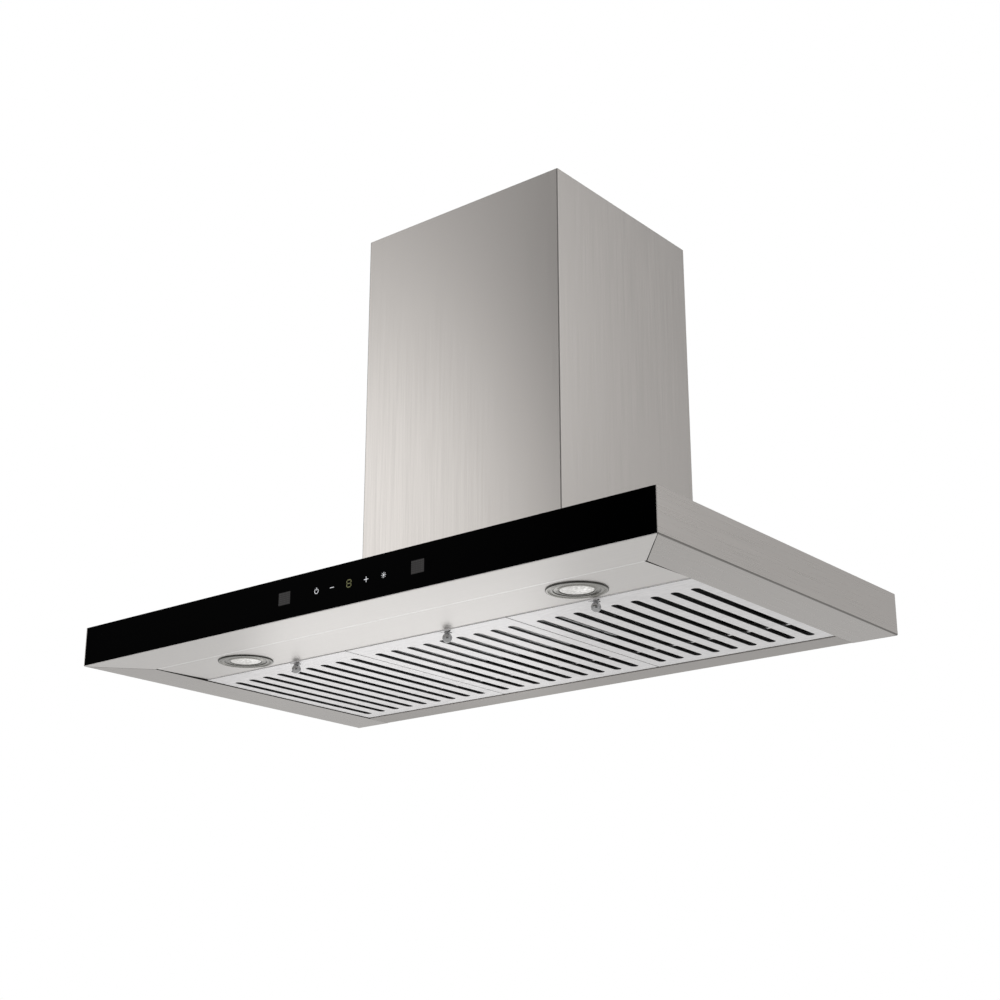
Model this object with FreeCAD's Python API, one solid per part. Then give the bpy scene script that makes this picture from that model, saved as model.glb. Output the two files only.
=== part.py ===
"""Wall chimney range hood, 900 mm wide, in millimetres.

Frame: +X to the right of a person facing the hood, +Y towards the wall, +Z up.
The wall is the plane Y = 0, the canopy's underside is the plane Z = 0 and the
hood is centred on X = 0.
"""
import FreeCAD
import Part
import math
import os

V = FreeCAD.Vector
X_AXIS = V(1, 0, 0)
Y_AXIS = V(0, 1, 0)
Z_AXIS = V(0, 0, 1)

# ---------------------------------------------------------------- driving sizes
canopy_width = 900.0
canopy_depth = 520.0
canopy_height = 52.0
canopy_sheet = 1.0
bend_radius = 1.6
seam_gap = 0.3            # gap at mitres and butt joints of the underside
corner_leg = 18.0         # corner brackets' legs
corner_setbacks = (46.0, 60.0)    # from the canopy's front edge and from the wall

chimney_width = 332.0
chimney_depth = 299.0
chimney_top = 613.0       # above the canopy's underside
chimney_sheet = 1.0
chimney_return = 16.0     # inward flange along each rear edge
upper_cover_drop = 3.0    # stored inner cover below the outer one's top
sleeve_gap = 0.4          # between the outer and the inner chimney cover
inner_cover_length = 520.0

glass_thickness = 4.0
glass_end_gap = 0.6
tape_thickness = 1.0
tape_width = 9.0

side_flange = 61.0        # underside flange along each side
front_flange = 70.0       # front edge to the soft fold
lamp_panel_length = 87.0  # soft fold to the filters
lamp_panel_rise = 2.0
rear_flange = 41.0
lamp_panel_side_gap = 1.6
panel_lip = 11.0

rail_return = 12.0        # return flanges of the channel behind the glass
control_offset = 26.0     # display centre, to the right of the hood's centre
icon_places = (-52.0, -27.0, 27.0, 54.0)   # touch keys from the display's centre
key_pad_radius = 4.5
display_width = 14.0
display_height = 18.0
touch_gap = 0.2           # glass to the display and the key pads
window_spacing = 210.0    # the two small square windows beside the keys
window_width = 19.0
window_height = 15.4
window_stand = 0.1
window_margin = 6.0       # the channel's opening inside the control housing
control_length = 250.0
control_depth = 15.0
control_band = 34.0       # height of the control housing
board_thickness = 1.6
housing_wall = 1.5

lamp_spacing = 531.0
lamp_setback = 114.0      # front edge to lamp centre
lamp_hole_radius = 30.5
lamp_bezel_land = 5.0     # bezel's rim past its hole
lamp_lens_step = 11.0     # hole's edge to the lens's edge
lamp_wall = 1.5
lamp_fit = 0.5            # hole to the bezel's barrel
lamp_cup_fit = 0.3        # barrel to the lamp body
lamp_body_height = 20.0
lamp_bezel_height = 1.6
lens_thickness = 2.0

filter_count = 3
filter_gap = 1.0          # between neighbouring filters and at the ends
filter_end_gap = 1.0      # behind and in front of each filter
filter_sheet = 0.8
filter_depth = 9.0
filter_recess = 1.0       # face of the filter above the flange plane
slot_pitch = 27.0
slot_width = 11.0
slot_side_land = 12.0     # least width beside the outer slots
slot_rear_land = 20.0
slot_clearance = 2.7      # latch spring's rib to the slots
slot_lip = 1.8            # turned-in edge round each slot
tie_rod_radius = 1.5
tie_rod_setbacks = (18.0, 73.0)   # from the filter's rear edge
tab_width = 20.0
tab_length = 9.0
tab_spacing = 160.0
tab_clearance = 0.3
knob_offsets = (35.0, 33.0, -5.0)  # each knob from the middle of its filter
knob_setback = 7.0
knob_radius = 6.0
knob_drop = 7.5           # ball centre below the filter's face
stem_radius = 2.2
latch_travel = 5.0
latch_width = 22.0
latch_length = 26.0
latch_thickness = 1.5
latch_gap = 0.3
latch_upright = 6.0       # height of the latch's upright
spring_solid = 3.0        # length of the spring when it is pressed flat
spring_rib_sheet = 1.2
spring_rib_height = 6.5
spring_radius = 2.2
spring_wire = 0.5
ear_width = 2.4           # two openings beside each knob
ear_length = 5.4
ear_spacing = 11.2
ear_setback = 4.4
ear_turn = 30.0           # degrees, outer ends towards the front

electronics_width = 316.0
electronics_inlet_gap = 8.0   # tray to the air opening
electronics_setback = 172.0   # front edge of the canopy to the tray
electronics_sheet = 0.8
electronics_floor = 12.0      # height of the tray's underside
board_post = 5.0
board_inset = 12.0        # main board inside the tray's edge
post_inset = 24.0
parts_headroom = 5.6      # transformer to the canopy's top sheet

inlet_side_land = 10.0    # blower box's side to the air opening
inlet_length = 150.0      # air opening in the canopy's top
inlet_rear_margin = 18.0

blower_side_room = 15.6   # blower box to the inner chimney cover
blower_front_room = 13.6
blower_sheet = 1.0
blower_rear_gap = 4.0

impeller_side_gap = 20.0  # impeller to the scroll's cheeks
blade_depth = 16.0
blade_count = 32
blade_sheet = 1.2
blade_lean = 28.0
hub_radius = 13.0
scroll_sheet = 1.0
scroll_clearance = 12.0   # impeller to the tongue
scroll_growth = 8.0       # each quarter turn
scroll_floor_gap = 12.0   # scroll to the canopy's top
scroll_rear_gap = 12.0
scroll_front_gap = 21.0
scroll_neck = 39.0        # tongue to the blower box's top
inlet_inset = 4.0         # inlet's edge inside the blades
inlet_ring_depth = 9.0
shaft_radius = 4.0
shaft_fit = 0.05
shaft_in_motor = 24.0
motor_radius = 48.0
motor_length = 62.0
motor_boss = 4.0
motor_end_gap = 7.0       # motor to the blower box
motor_plate_radius = 62.0
motor_plate_thickness = 3.0
motor_screw_inset = 6.0   # screws inside the motor plate's rim
motor_screw_radius = 2.0
screw_play = 0.15
capacitor_radius = 14.0
capacitor_length = 52.0
capacitor_gap = 1.5       # capacitor to the motor plate's rim

duct_radius = 75.0        # outside of the collar
duct_sheet = 1.0
duct_length = 62.0
duct_flange = 12.0
duct_lip = 10.0           # collar's bore to the hole under it
damper_seat = 6.0         # width of the ledge that the flaps close on
damper_height = 14.0      # pin height above the collar's base
damper_pin_radius = 2.0
damper_pin_spacing = 12.0
damper_sleeve_wall = 1.0
damper_fit = 0.05
damper_sheet = 1.0
damper_clearance = 1.6
damper_rest = 0.3         # closed flap above its ledge

hanging_plate_inset = 23.0    # blower box's side to the plate's end
hanging_plate_height = 46.0
hanging_plate_drop = 20.0
hanging_hole_inset = 25.0
hanging_hole_radius = 4.0
wall_hole_spacing = 600.0
wall_hole_radius = 3.2
bracket_depth = 24.0
bracket_height = 22.0
bracket_sheet = 2.0
bracket_hole_inset = 23.2
bracket_wing = 4.0        # beside the cover's rear flange
bracket_hole_radius = 2.6
bracket_drop = 12.0       # bracket below the chimney's top edge
bracket_fit = 0.4         # inner chimney cover to the wall bracket

# -------------------------------------------------------------- derived places
half_width = canopy_width / 2
front_y = -canopy_depth
ceiling = canopy_height - canopy_sheet
opening_half = half_width - side_flange
fold_y = front_y + front_flange
panel_end_y = fold_y + lamp_panel_length
rear_flange_y = -rear_flange
filter_pitch = 2 * opening_half / filter_count
filter_width = filter_pitch - filter_gap
slot_count = 1 + int((filter_width - slot_width - 2 * slot_side_land) // slot_pitch)
filter_front_y = panel_end_y + filter_end_gap
filter_rear_y = rear_flange_y - filter_end_gap
filter_face = filter_recess
hinge_z = canopy_sheet + tab_clearance
spring_room = latch_travel + spring_solid
slot_front_land = (filter_sheet + latch_gap + latch_length - latch_travel + spring_room
                   + spring_rib_sheet + slot_clearance)
lamp_bezel_radius = lamp_hole_radius + lamp_bezel_land
lamp_lens_radius = lamp_hole_radius - lamp_lens_step
lamp_barrel_radius = lamp_hole_radius - lamp_fit
lamp_cup_radius = lamp_barrel_radius - lamp_wall - lamp_cup_fit
lamp_tilt = math.degrees(math.atan2(lamp_panel_rise, lamp_panel_length))
lamp_y = front_y + lamp_setback
lamp_z = (lamp_y - fold_y) * lamp_panel_rise / lamp_panel_length
rail_front_y = front_y + glass_thickness + tape_thickness
rail_back_y = rail_front_y + canopy_sheet
inner_cover_half = chimney_width / 2 - chimney_sheet - sleeve_gap
inner_cover_front_y = -chimney_depth + chimney_sheet + sleeve_gap
inner_cover_rear_y = -chimney_sheet - sleeve_gap
blower_width = 2 * (inner_cover_half - chimney_sheet - blower_side_room)
blower_front_y = inner_cover_front_y + chimney_sheet + blower_front_room
blower_rear_y = -blower_rear_gap
blower_depth = blower_rear_y - blower_front_y
inlet_width = blower_width - 2 * inlet_side_land
scroll_half = (blower_width / 2 - blower_sheet - motor_end_gap - motor_boss - motor_length
               - motor_plate_thickness - scroll_sheet)
impeller_width = 2 * (scroll_half - impeller_side_gap)
scroll_room = blower_depth - 2 * blower_sheet - scroll_rear_gap - scroll_front_gap
impeller_radius = (scroll_room - 4 * scroll_growth) / 2 - scroll_clearance
scroll_hole_radius = impeller_radius - blade_depth - inlet_inset
scroll_tongue = impeller_radius + scroll_clearance
fan_y = blower_rear_y - blower_sheet - scroll_rear_gap - scroll_tongue - scroll_growth
fan_z = canopy_height + scroll_floor_gap + scroll_tongue + 2 * scroll_growth
blower_top = fan_z + scroll_tongue + scroll_neck + blower_sheet
neck_front_y = fan_y - scroll_tongue - 3 * scroll_growth
duct_y = blower_front_y + duct_radius + duct_flange
duct_hole_radius = min((fan_y - neck_front_y) / 2 - scroll_sheet,
                       duct_radius - duct_sheet - duct_lip)
damper_z = blower_top + damper_height
electronics_front_y = front_y + electronics_setback
electronics_rear_y = -inlet_rear_margin - inlet_length - electronics_inlet_gap


# --------------------------------------------------------------- small helpers
def box(low_x, low_y, low_z, high_x, high_y, high_z):
    """A box between two corners."""
    return Part.makeBox(high_x - low_x, high_y - low_y, high_z - low_z, V(low_x, low_y, low_z))


def rod(radius, length, start, axis):
    """A round bar from a start point along an axis."""
    return Part.makeCylinder(radius, length, start, axis)


def tube(outer, inner, length, start, axis):
    """A round tube from a start point along an axis."""
    return rod(outer, length, start, axis).cut(rod(inner, length, start, axis))


def solid_from(points, sweep):
    """A prism: a closed outline of straight sides, pushed along a vector."""
    wire = Part.makePolygon(list(points) + [points[0]])
    return Part.Face(wire).extrude(sweep)


def mirrored(shape):
    """The same piece on the other side of the hood."""
    return shape.mirror(V(0, 0, 0), X_AXIS)


def group(shapes):
    """Separate solids that share one node."""
    return Part.makeCompound(shapes)


def one_solid(shape):
    """A cleaned shape without split faces."""
    return shape.removeSplitter()


def hex_screw(head_radius, head_height, shank_radius, shank_length, seat, axis):
    """A hexagon-head screw: its head stands on the seat point, its shank goes the other way."""
    side = Part.makePolygon([V(head_radius * math.cos(math.radians(a)),
                               head_radius * math.sin(math.radians(a)), 0)
                             for a in range(0, 361, 60)])
    head = Part.Face(side).extrude(V(0, 0, head_height))
    shank = rod(shank_radius, shank_length, V(0, 0, -shank_length), Z_AXIS)
    screw = head.fuse(shank)
    screw.Placement = FreeCAD.Placement(seat, FreeCAD.Rotation(Z_AXIS, axis))
    return screw


def slot_prism(centre_x, low_y, high_y, low_z, high_z, width):
    """A bar with round ends, for slots along Y."""
    radius = width / 2
    bar = box(centre_x - radius, low_y + radius, low_z, centre_x + radius, high_y - radius, high_z)
    for end_y in (low_y + radius, high_y - radius):
        bar = bar.fuse(rod(radius, high_z - low_z, V(centre_x, end_y, low_z), Z_AXIS))
    return one_solid(bar)


def folded_channel(outline, sheet, low, high):
    """A folded U of sheet standing along Z: outline gives half width, front and rear Y."""
    half, front, rear = outline
    outer = box(-half, front, low, half, rear, high)
    inner = box(-half + sheet, front + sheet, low, half - sheet, rear, high)
    corners = [edge for edge in outer.Edges if is_upright_edge(edge, front)]
    outer = outer.makeFillet(bend_radius, corners)
    corners = [edge for edge in inner.Edges if is_upright_edge(edge, front + sheet)]
    inner = inner.makeFillet(bend_radius - sheet, corners)
    return outer.cut(inner)


def is_upright_edge(edge, at_y):
    """True for a vertical edge at the given Y."""
    ends = [vertex.Point for vertex in edge.Vertexes]
    upright = abs(ends[0].x - ends[1].x) < 1e-6 and abs(ends[0].y - ends[1].y) < 1e-6
    return upright and abs(ends[0].y - at_y) < 1e-6


# ------------------------------------------------------------------ the canopy
def canopy_side():
    """Right side wall and its underside flange, one folded sheet, mitred at the front."""
    wall = box(half_width - canopy_sheet, front_y, 0, half_width, 0, canopy_height)
    flange = box(opening_half, front_y, 0, half_width, 0, canopy_sheet)
    sheet = one_solid(wall.fuse(flange))
    bend = [edge for edge in sheet.Edges if is_long_edge(edge, half_width, 0)]
    sheet = sheet.makeFillet(bend_radius, bend)
    mitre = solid_from([V(opening_half - 1, front_y - 1, -1),
                        V(half_width - canopy_sheet, front_y - 1, -1),
                        V(half_width - canopy_sheet, front_y + seam_gap, -1),
                        V(opening_half, fold_y + seam_gap, -1),
                        V(opening_half - 1, fold_y + seam_gap, -1)], V(0, 0, 2 * canopy_sheet))
    return one_solid(sheet.cut(mitre))


def is_long_edge(edge, at_x, at_z):
    """True for an edge along Y at the given X and Z."""
    ends = [vertex.Point for vertex in edge.Vertexes]
    return all(abs(p.x - at_x) < 1e-6 and abs(p.z - at_z) < 1e-6 for p in ends)


def canopy_rear():
    """Rear wall with its underside flange."""
    reach = opening_half - seam_gap
    wall = box(-half_width + canopy_sheet, -canopy_sheet, canopy_sheet,
               half_width - canopy_sheet, 0, ceiling)
    flange = box(-reach, rear_flange_y, 0, reach, 0, canopy_sheet)
    panel = one_solid(wall.fuse(flange))
    for side in (-1, 1):
        hole = rod(wall_hole_radius, 3 * canopy_sheet,
                   V(side * wall_hole_spacing / 2, -2 * canopy_sheet, ceiling / 2), Y_AXIS)
        panel = panel.cut(hole)
    return panel


def canopy_top():
    """Top sheet with the air opening under the blower."""
    sheet = box(-half_width + canopy_sheet, rail_front_y, ceiling,
                half_width - canopy_sheet, 0, canopy_height)
    opening = box(-inlet_width / 2, -inlet_rear_margin - inlet_length, ceiling - 1,
                  inlet_width / 2, -inlet_rear_margin, canopy_height + 1)
    return sheet.cut(opening)


def front_rail():
    """Steel channel behind the glass, with the window for the controls."""
    reach = half_width - canopy_sheet
    low = canopy_sheet
    wall = box(-reach, rail_front_y, low, reach, rail_back_y, ceiling)
    lower = box(-reach, rail_front_y, low, reach, rail_front_y + rail_return, low + canopy_sheet)
    upper = box(-reach, rail_front_y, ceiling - canopy_sheet,
                reach, rail_front_y + rail_return, ceiling)
    channel = one_solid(wall.fuse([lower, upper]))
    middle = (low + ceiling) / 2
    window = box(control_offset - control_length / 2 + window_margin, rail_front_y - 1,
                 middle - control_band / 2 + window_margin,
                 control_offset + control_length / 2 - window_margin, rail_back_y + 1,
                 middle + control_band / 2 - window_margin)
    return channel.cut(window)


def lamp_panel():
    """Front flange and lamp panel: one sheet, softly folded, with a lip up at the filters."""
    t = canopy_sheet
    rise = lamp_panel_rise
    section = [V(-half_width, front_y, 0), V(-half_width, fold_y, 0),
               V(-half_width, panel_end_y, rise), V(-half_width, panel_end_y, rise + panel_lip),
               V(-half_width, panel_end_y - t, rise + panel_lip),
               V(-half_width, panel_end_y - t, rise + t),
               V(-half_width, fold_y, t), V(-half_width, front_y, t)]
    sheet = solid_from(section, V(canopy_width, 0, 0))
    tall = rise + panel_lip + 2
    trims = []
    side_x = opening_half - lamp_panel_side_gap
    trims.append(box(side_x, fold_y, -1, half_width + 1, panel_end_y + 1, tall))
    trims.append(solid_from([V(half_width - t, front_y - 1, -1), V(half_width + 1, front_y - 1, -1),
                             V(half_width + 1, fold_y, -1), V(opening_half, fold_y, -1),
                             V(half_width - t, front_y, -1)], V(0, 0, tall)))
    for trim in trims:
        sheet = sheet.cut(trim)
        sheet = sheet.cut(mirrored(trim))
    for side in (-1, 1):
        hole = rod(lamp_hole_radius, 20, V(side * lamp_spacing / 2, lamp_y, lamp_z - 10), Z_AXIS)
        sheet = sheet.cut(hole)
    return one_solid(sheet)


def corner_brackets():
    """Four angle brackets that tie the side walls to the top."""
    leg = corner_leg
    brackets = []
    for place_y in (front_y + corner_setbacks[0], -corner_setbacks[1]):
        outer = half_width - canopy_sheet
        upright = box(outer - bracket_sheet, place_y, ceiling - leg, outer, place_y + leg, ceiling)
        flat = box(outer - leg, place_y, ceiling - bracket_sheet, outer, place_y + leg, ceiling)
        angle = one_solid(upright.fuse(flat))
        brackets += [angle, mirrored(angle)]
    return group(brackets)


def control_glass():
    """Black glass strip over the whole front."""
    reach = half_width - canopy_sheet - glass_end_gap
    glass = box(-reach, front_y, canopy_sheet, reach, front_y + glass_thickness, canopy_height)
    edges = [edge for edge in glass.Edges if abs(edge.CenterOfMass.y - front_y) < 1e-6]
    return glass.makeChamfer(0.4, edges)


def glass_tape():
    """Two bonding strips between the glass and the channel."""
    reach = half_width - canopy_sheet - glass_end_gap - 4
    strips = []
    for low in (canopy_sheet + 1, canopy_height - 1 - tape_width):
        strips.append(box(-reach, front_y + glass_thickness, low,
                          reach, rail_front_y, low + tape_width))
    return group(strips)


# ------------------------------------------------------------------ the controls
def control_parts():
    """Housing, board, display and touch pads behind the glass."""
    middle = (canopy_sheet + ceiling) / 2
    low = middle - control_band / 2
    high = middle + control_band / 2
    left = control_offset - control_length / 2
    right = control_offset + control_length / 2
    shell = box(left, rail_back_y, low, right, rail_back_y + control_depth, high)
    hollow = box(left + housing_wall, rail_back_y, low + housing_wall,
                 right - housing_wall, rail_back_y + control_depth - housing_wall,
                 high - housing_wall)
    shell = shell.cut(hollow)
    board_back = rail_back_y + control_depth - housing_wall
    ledge = box(left + housing_wall, board_back - 4, low + housing_wall,
                left + housing_wall + 5, board_back, high - housing_wall)
    far_ledge = ledge.copy()
    far_ledge.translate(V(control_length - 2 * housing_wall - 5, 0, 0))
    shell = one_solid(shell.fuse([ledge, far_ledge]))
    board_y = board_back - 4
    board = box(left + housing_wall + 0.5, board_y - board_thickness, low + housing_wall + 0.5,
                right - housing_wall - 0.5, board_y, high - housing_wall - 0.5)
    touch_face = front_y + glass_thickness + touch_gap
    display = box(control_offset - display_width / 2, touch_face, middle - display_height / 2,
                  control_offset + display_width / 2, board_y - board_thickness,
                  middle + display_height / 2)
    pads = []
    for offset in icon_places:
        centre = V(control_offset + offset, touch_face, middle)
        length = board_y - board_thickness - touch_face
        pads.append(tube(key_pad_radius, key_pad_radius - 1.2, length, centre, Y_AXIS))
    return shell, board, display, group(pads)


def sensor_windows():
    """Two small square windows let into the front of the glass."""
    middle = (canopy_sheet + canopy_height) / 2
    windows = []
    for side in (-1, 1):
        centre = control_offset + side * window_spacing / 2
        windows.append(box(centre - window_width / 2, front_y - window_stand,
                           middle - window_height / 2, centre + window_width / 2, front_y,
                           middle + window_height / 2))
    return group(windows)


# --------------------------------------------------------------------- the lamps
def seat_lamp(shape, side):
    """Turns a lamp piece made about the origin onto the sloping panel."""
    piece = shape.copy()
    piece.rotate(V(0, 0, 0), X_AXIS, lamp_tilt)
    piece.translate(V(side * lamp_spacing / 2, lamp_y, lamp_z))
    return piece


def turned(points):
    """A solid of revolution about Z from a closed outline of radius and height."""
    outline = [V(radius, 0, height) for radius, height in points]
    wire = Part.makePolygon(outline + [outline[0]])
    return Part.Face(wire).revolve(V(0, 0, 0), Z_AXIS, 360)


def lamp_bezel():
    """Stepped ring under the panel with a short barrel through it."""
    edge = lamp_bezel_radius
    barrel = lamp_barrel_radius
    inner = lamp_lens_radius + 0.4
    drop = -lamp_bezel_height
    return turned([(inner, drop + 1.4), (inner, drop + 0.6), (inner + 2.5, drop + 0.2),
                   (inner + 5.5, drop + 1.2), (edge - 6.5, drop + 0.9), (edge - 4.5, drop),
                   (edge - 1.2, drop), (edge, drop + 0.9), (edge, -0.1),
                   (barrel, -0.1), (barrel, 4.0), (barrel - lamp_wall, 4.0), (barrel - lamp_wall, 1.2),
                   (inner + 1.5, 1.2), (inner + 1.5, drop + 1.4)])


def lamp_lens():
    """Frosted lens, held behind the bezel's inner edge."""
    radius = lamp_lens_radius
    low = -lamp_bezel_height + 0.8
    return turned([(0, low - 0.5), (radius * 0.7, low - 0.3), (radius, low + 0.2),
                   (radius, low + lens_thickness), (0, low + lens_thickness)])


def lamp_body():
    """Finned cup above the panel that carries the light board."""
    barrel = lamp_cup_radius
    high = lamp_body_height
    cup = turned([(lamp_lens_radius + 2.2, 1.3), (barrel, 1.3), (barrel, high), (0, high),
                  (0, high - 5), (lamp_lens_radius + 2.2, high - 5)])
    for index in range(7):
        low = high - 2.4
        offset = (index - 3) * 7.0
        cup = cup.cut(box(-barrel - 1, offset - 1.2, low, barrel + 1, offset + 1.2, high + 1))
    return cup


def lamp_board():
    """Round light board with seven small emitters, under the body's floor."""
    high = lamp_body_height - 5
    disc = rod(lamp_lens_radius, board_thickness, V(0, 0, high - board_thickness), Z_AXIS)
    emitters = [rod(2.0, 0.8, V(0, 0, high - board_thickness - 0.8), Z_AXIS)]
    for step in range(6):
        angle = math.radians(60 * step)
        emitters.append(rod(2.0, 0.8, V(11 * math.cos(angle), 11 * math.sin(angle),
                                        high - board_thickness - 0.8), Z_AXIS))
    return disc.fuse(emitters)


def lamp_clips():
    """Two leaf clips of one lamp: they press on the panel from above."""
    clips = []
    barrel = lamp_cup_radius
    for side in (-1, 1):
        foot = barrel + 7
        points = [V(barrel, -4, 11), V(foot, -4, 1.4), V(foot, -4, 2.0), V(barrel, -4, 12)]
        clip = solid_from(points, V(0, 8, 0))
        clips.append(clip if side > 0 else mirrored(clip))
    return clips


# ------------------------------------------------------------------- the filters
def filter_centre(index):
    """Middle of one filter along X."""
    return (index - (filter_count - 1) / 2) * filter_pitch


def slot_places():
    """Slot centres along X, from the middle of the filter."""
    return [(step - (slot_count - 1) / 2) * slot_pitch for step in range(slot_count)]


def filter_tray(index):
    """Slotted tray: face, upright rim, slot lips, rear tabs and the latch's openings."""
    centre = filter_centre(index)
    half = filter_width / 2
    t = filter_sheet
    low = filter_face
    outer = box(centre - half, filter_front_y, low, centre + half, filter_rear_y,
                low + filter_depth)
    inner = box(centre - half + t, filter_front_y + t, low + t,
                centre + half - t, filter_rear_y - t, low + filter_depth)
    tray = outer.cut(inner)
    slot_front = filter_front_y + slot_front_land
    slot_rear = filter_rear_y - slot_rear_land
    lips = [slot_prism(centre + place, slot_front - t, slot_rear + t, low, low + t + slot_lip,
                       slot_width + 2 * t) for place in slot_places()]
    tabs = [box(centre + side * tab_spacing / 2 - tab_width / 2, filter_rear_y - 2 * t,
                hinge_z, centre + side * tab_spacing / 2 + tab_width / 2,
                filter_rear_y + tab_length, hinge_z + t) for side in (-1, 1)]
    tray = tray.fuse(lips + tabs)
    cuts = [slot_prism(centre + place, slot_front, slot_rear, low - 1, low + filter_depth,
                       slot_width) for place in slot_places()]
    stem_x = centre + knob_offsets[index]
    stem_y = filter_front_y + knob_setback
    cuts.append(slot_prism(stem_x, stem_y - stem_radius - 0.4,
                           stem_y + latch_travel + stem_radius + 0.4, low - 1, low + 3,
                           2 * stem_radius + 0.8))
    for side in (-1, 1):
        ear_x = stem_x + side * ear_spacing / 2
        ear_y = filter_front_y + ear_setback
        ear = box(ear_x - ear_length / 2, ear_y - ear_width / 2, low - 1,
                  ear_x + ear_length / 2, ear_y + ear_width / 2, low + 2 * t)
        ear.rotate(V(ear_x, ear_y, 0), Z_AXIS, -side * ear_turn)
        cuts.append(ear)
    tray = tray.cut(cuts)
    return one_solid(tray)


def tie_rods(index):
    """Cross rods that stiffen one filter, between its two side rims."""
    half = filter_width / 2 - filter_sheet
    height = filter_face + filter_sheet + slot_lip + tie_rod_radius
    rods = []
    for setback in tie_rod_setbacks:
        start = V(filter_centre(index) - half, filter_rear_y - setback, height)
        rods.append(rod(tie_rod_radius, 2 * half, start, X_AXIS))
    return group(rods)


def latch_floor():
    """Height of the latch plate's underside."""
    return filter_face + filter_sheet + 0.3


def filter_knob(index):
    """Ball knob with its stem, collar and neck, turned in one piece."""
    x = filter_centre(index) + knob_offsets[index]
    y = filter_front_y + knob_setback
    ball_z = filter_face - knob_drop
    ball = Part.makeSphere(knob_radius, V(x, y, ball_z))
    stem = rod(stem_radius, latch_floor() - ball_z, V(x, y, ball_z), Z_AXIS)
    collar = rod(stem_radius + 1.6, 1.2, V(x, y, filter_face - 1.6), Z_AXIS)
    return one_solid(ball.fuse([stem, collar]))


def filter_latch(index):
    """Sliding latch plate above the filter's front land, with an upright for the spring."""
    x = filter_centre(index) + knob_offsets[index]
    low = latch_floor()
    front = filter_front_y + filter_sheet + latch_gap
    plate = box(x - latch_width / 2, front, low,
                x + latch_width / 2, front + latch_length - latch_travel, low + latch_thickness)
    upright = box(x - 4, front + latch_length - latch_travel - latch_thickness, low,
                  x + 4, front + latch_length - latch_travel, low + latch_upright)
    return one_solid(plate.fuse(upright))


def spring_seat(index):
    """Small angle on the tray that the latch spring pushes against."""
    x = filter_centre(index) + knob_offsets[index]
    start = filter_front_y + filter_sheet + latch_gap + latch_length - latch_travel
    return x, start


def latch_spring(index):
    """Compression spring along Y between the latch's upright and the tray's rib."""
    x, start = spring_seat(index)
    length = spring_room
    height = latch_floor() + latch_upright - spring_radius - 0.4
    coil = Part.makeHelix(length / 5.5, length - 2 * spring_wire, spring_radius - spring_wire)
    profile = Part.Wire([Part.makeCircle(spring_wire, V(spring_radius - spring_wire, 0, 0), Y_AXIS)])
    spring = Part.Wire(coil).makePipeShell([profile], True, True)
    spring.Placement = FreeCAD.Placement(V(x, start + spring_wire, height),
                                         FreeCAD.Rotation(Z_AXIS, Y_AXIS))
    return spring


def spring_rib(index):
    """The rib on the tray's front land that carries the spring's far end."""
    x, start = spring_seat(index)
    low = filter_face + filter_sheet
    return box(x - 5, start + spring_room, low,
               x + 5, start + spring_room + spring_rib_sheet, low + spring_rib_height)


# --------------------------------------------------------------- the electronics
def electronics_parts():
    """Open-topped tray under the canopy's top, its board and the parts on the board."""
    t = electronics_sheet
    half = electronics_width / 2
    front = electronics_front_y
    rear = electronics_rear_y
    low = electronics_floor
    tray = box(-half, front, low, half, rear, ceiling)
    tray = tray.cut(box(-half + t, front + t, low + t, half - t, rear - t, ceiling))
    posts = []
    for side_x in (-1, 1):
        for place_y in (front + post_inset, rear - post_inset):
            posts.append(rod(3.0, board_post, V(side_x * (half - post_inset), place_y, low + t),
                             Z_AXIS))
    tray = one_solid(tray.fuse(posts))
    board_low = low + t + board_post
    board = box(-half + board_inset, front + board_inset, board_low,
                half - board_inset, rear - board_inset, board_low + board_thickness)
    top = board_low + board_thickness
    parts = [box(-130, front + 30, top, -82, front + 74, ceiling - parts_headroom),
             box(-60, front + 28, top, -36, front + 44, top + 15),
             box(-30, front + 28, top, -6, front + 44, top + 15),
             box(0, front + 28, top, 24, front + 44, top + 15),
             box(60, front + 24, top, 124, front + 36, top + 13),
             rod(9.0, 22.0, V(-20, front + 96, top), Z_AXIS),
             rod(5.0, 14.0, V(8, front + 96, top), Z_AXIS),
             box(50, front + 84, top, 88, front + 112, top + 20)]
    return tray, board, group(parts)


# ------------------------------------------------------------------- the blower
def blower_box():
    """Five-sided sheet box over the air opening; its floor is open."""
    t = blower_sheet
    half = blower_width / 2
    shell = box(-half, blower_front_y, canopy_height, half, blower_rear_y, blower_top)
    shell = shell.cut(box(-half + t, blower_front_y + t, canopy_height,
                          half - t, blower_rear_y - t, blower_top - t))
    shell = shell.cut(rod(duct_hole_radius, 4 * t, V(0, duct_y, blower_top - 2 * t), Z_AXIS))
    shell = shell.cut(rod(gland_radius(), 4 * t, V(gland_x(), gland_y(), blower_top - 2 * t),
                          Z_AXIS))
    return shell


def gland_radius():
    """Thread radius of the mains cable gland."""
    return 8.0


def gland_x():
    """Gland place along X, beside the duct collar."""
    return blower_width / 2 - 24


def gland_y():
    """Gland place along Y."""
    return blower_rear_y - 30


def mains_gland():
    """Cable gland where the mains lead leaves the blower box."""
    place = V(gland_x(), gland_y(), blower_top)
    ring = rod(gland_radius() + 4, 5.0, place, Z_AXIS)
    dome = Part.makeCone(gland_radius() + 1.5, gland_radius() - 2.0, 12.0,
                         place + V(0, 0, 5.0), Z_AXIS)
    thread = rod(gland_radius() - 0.2, 11.0, place - V(0, 0, 11.0), Z_AXIS)
    nut = rod(gland_radius() + 3, 4.0, place - V(0, 0, blower_sheet + 4.0), Z_AXIS)
    gland = ring.fuse([dome, thread, nut])
    return one_solid(gland.cut(rod(4.0, 40.0, place - V(0, 0, 15.0), Z_AXIS)))


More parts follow.
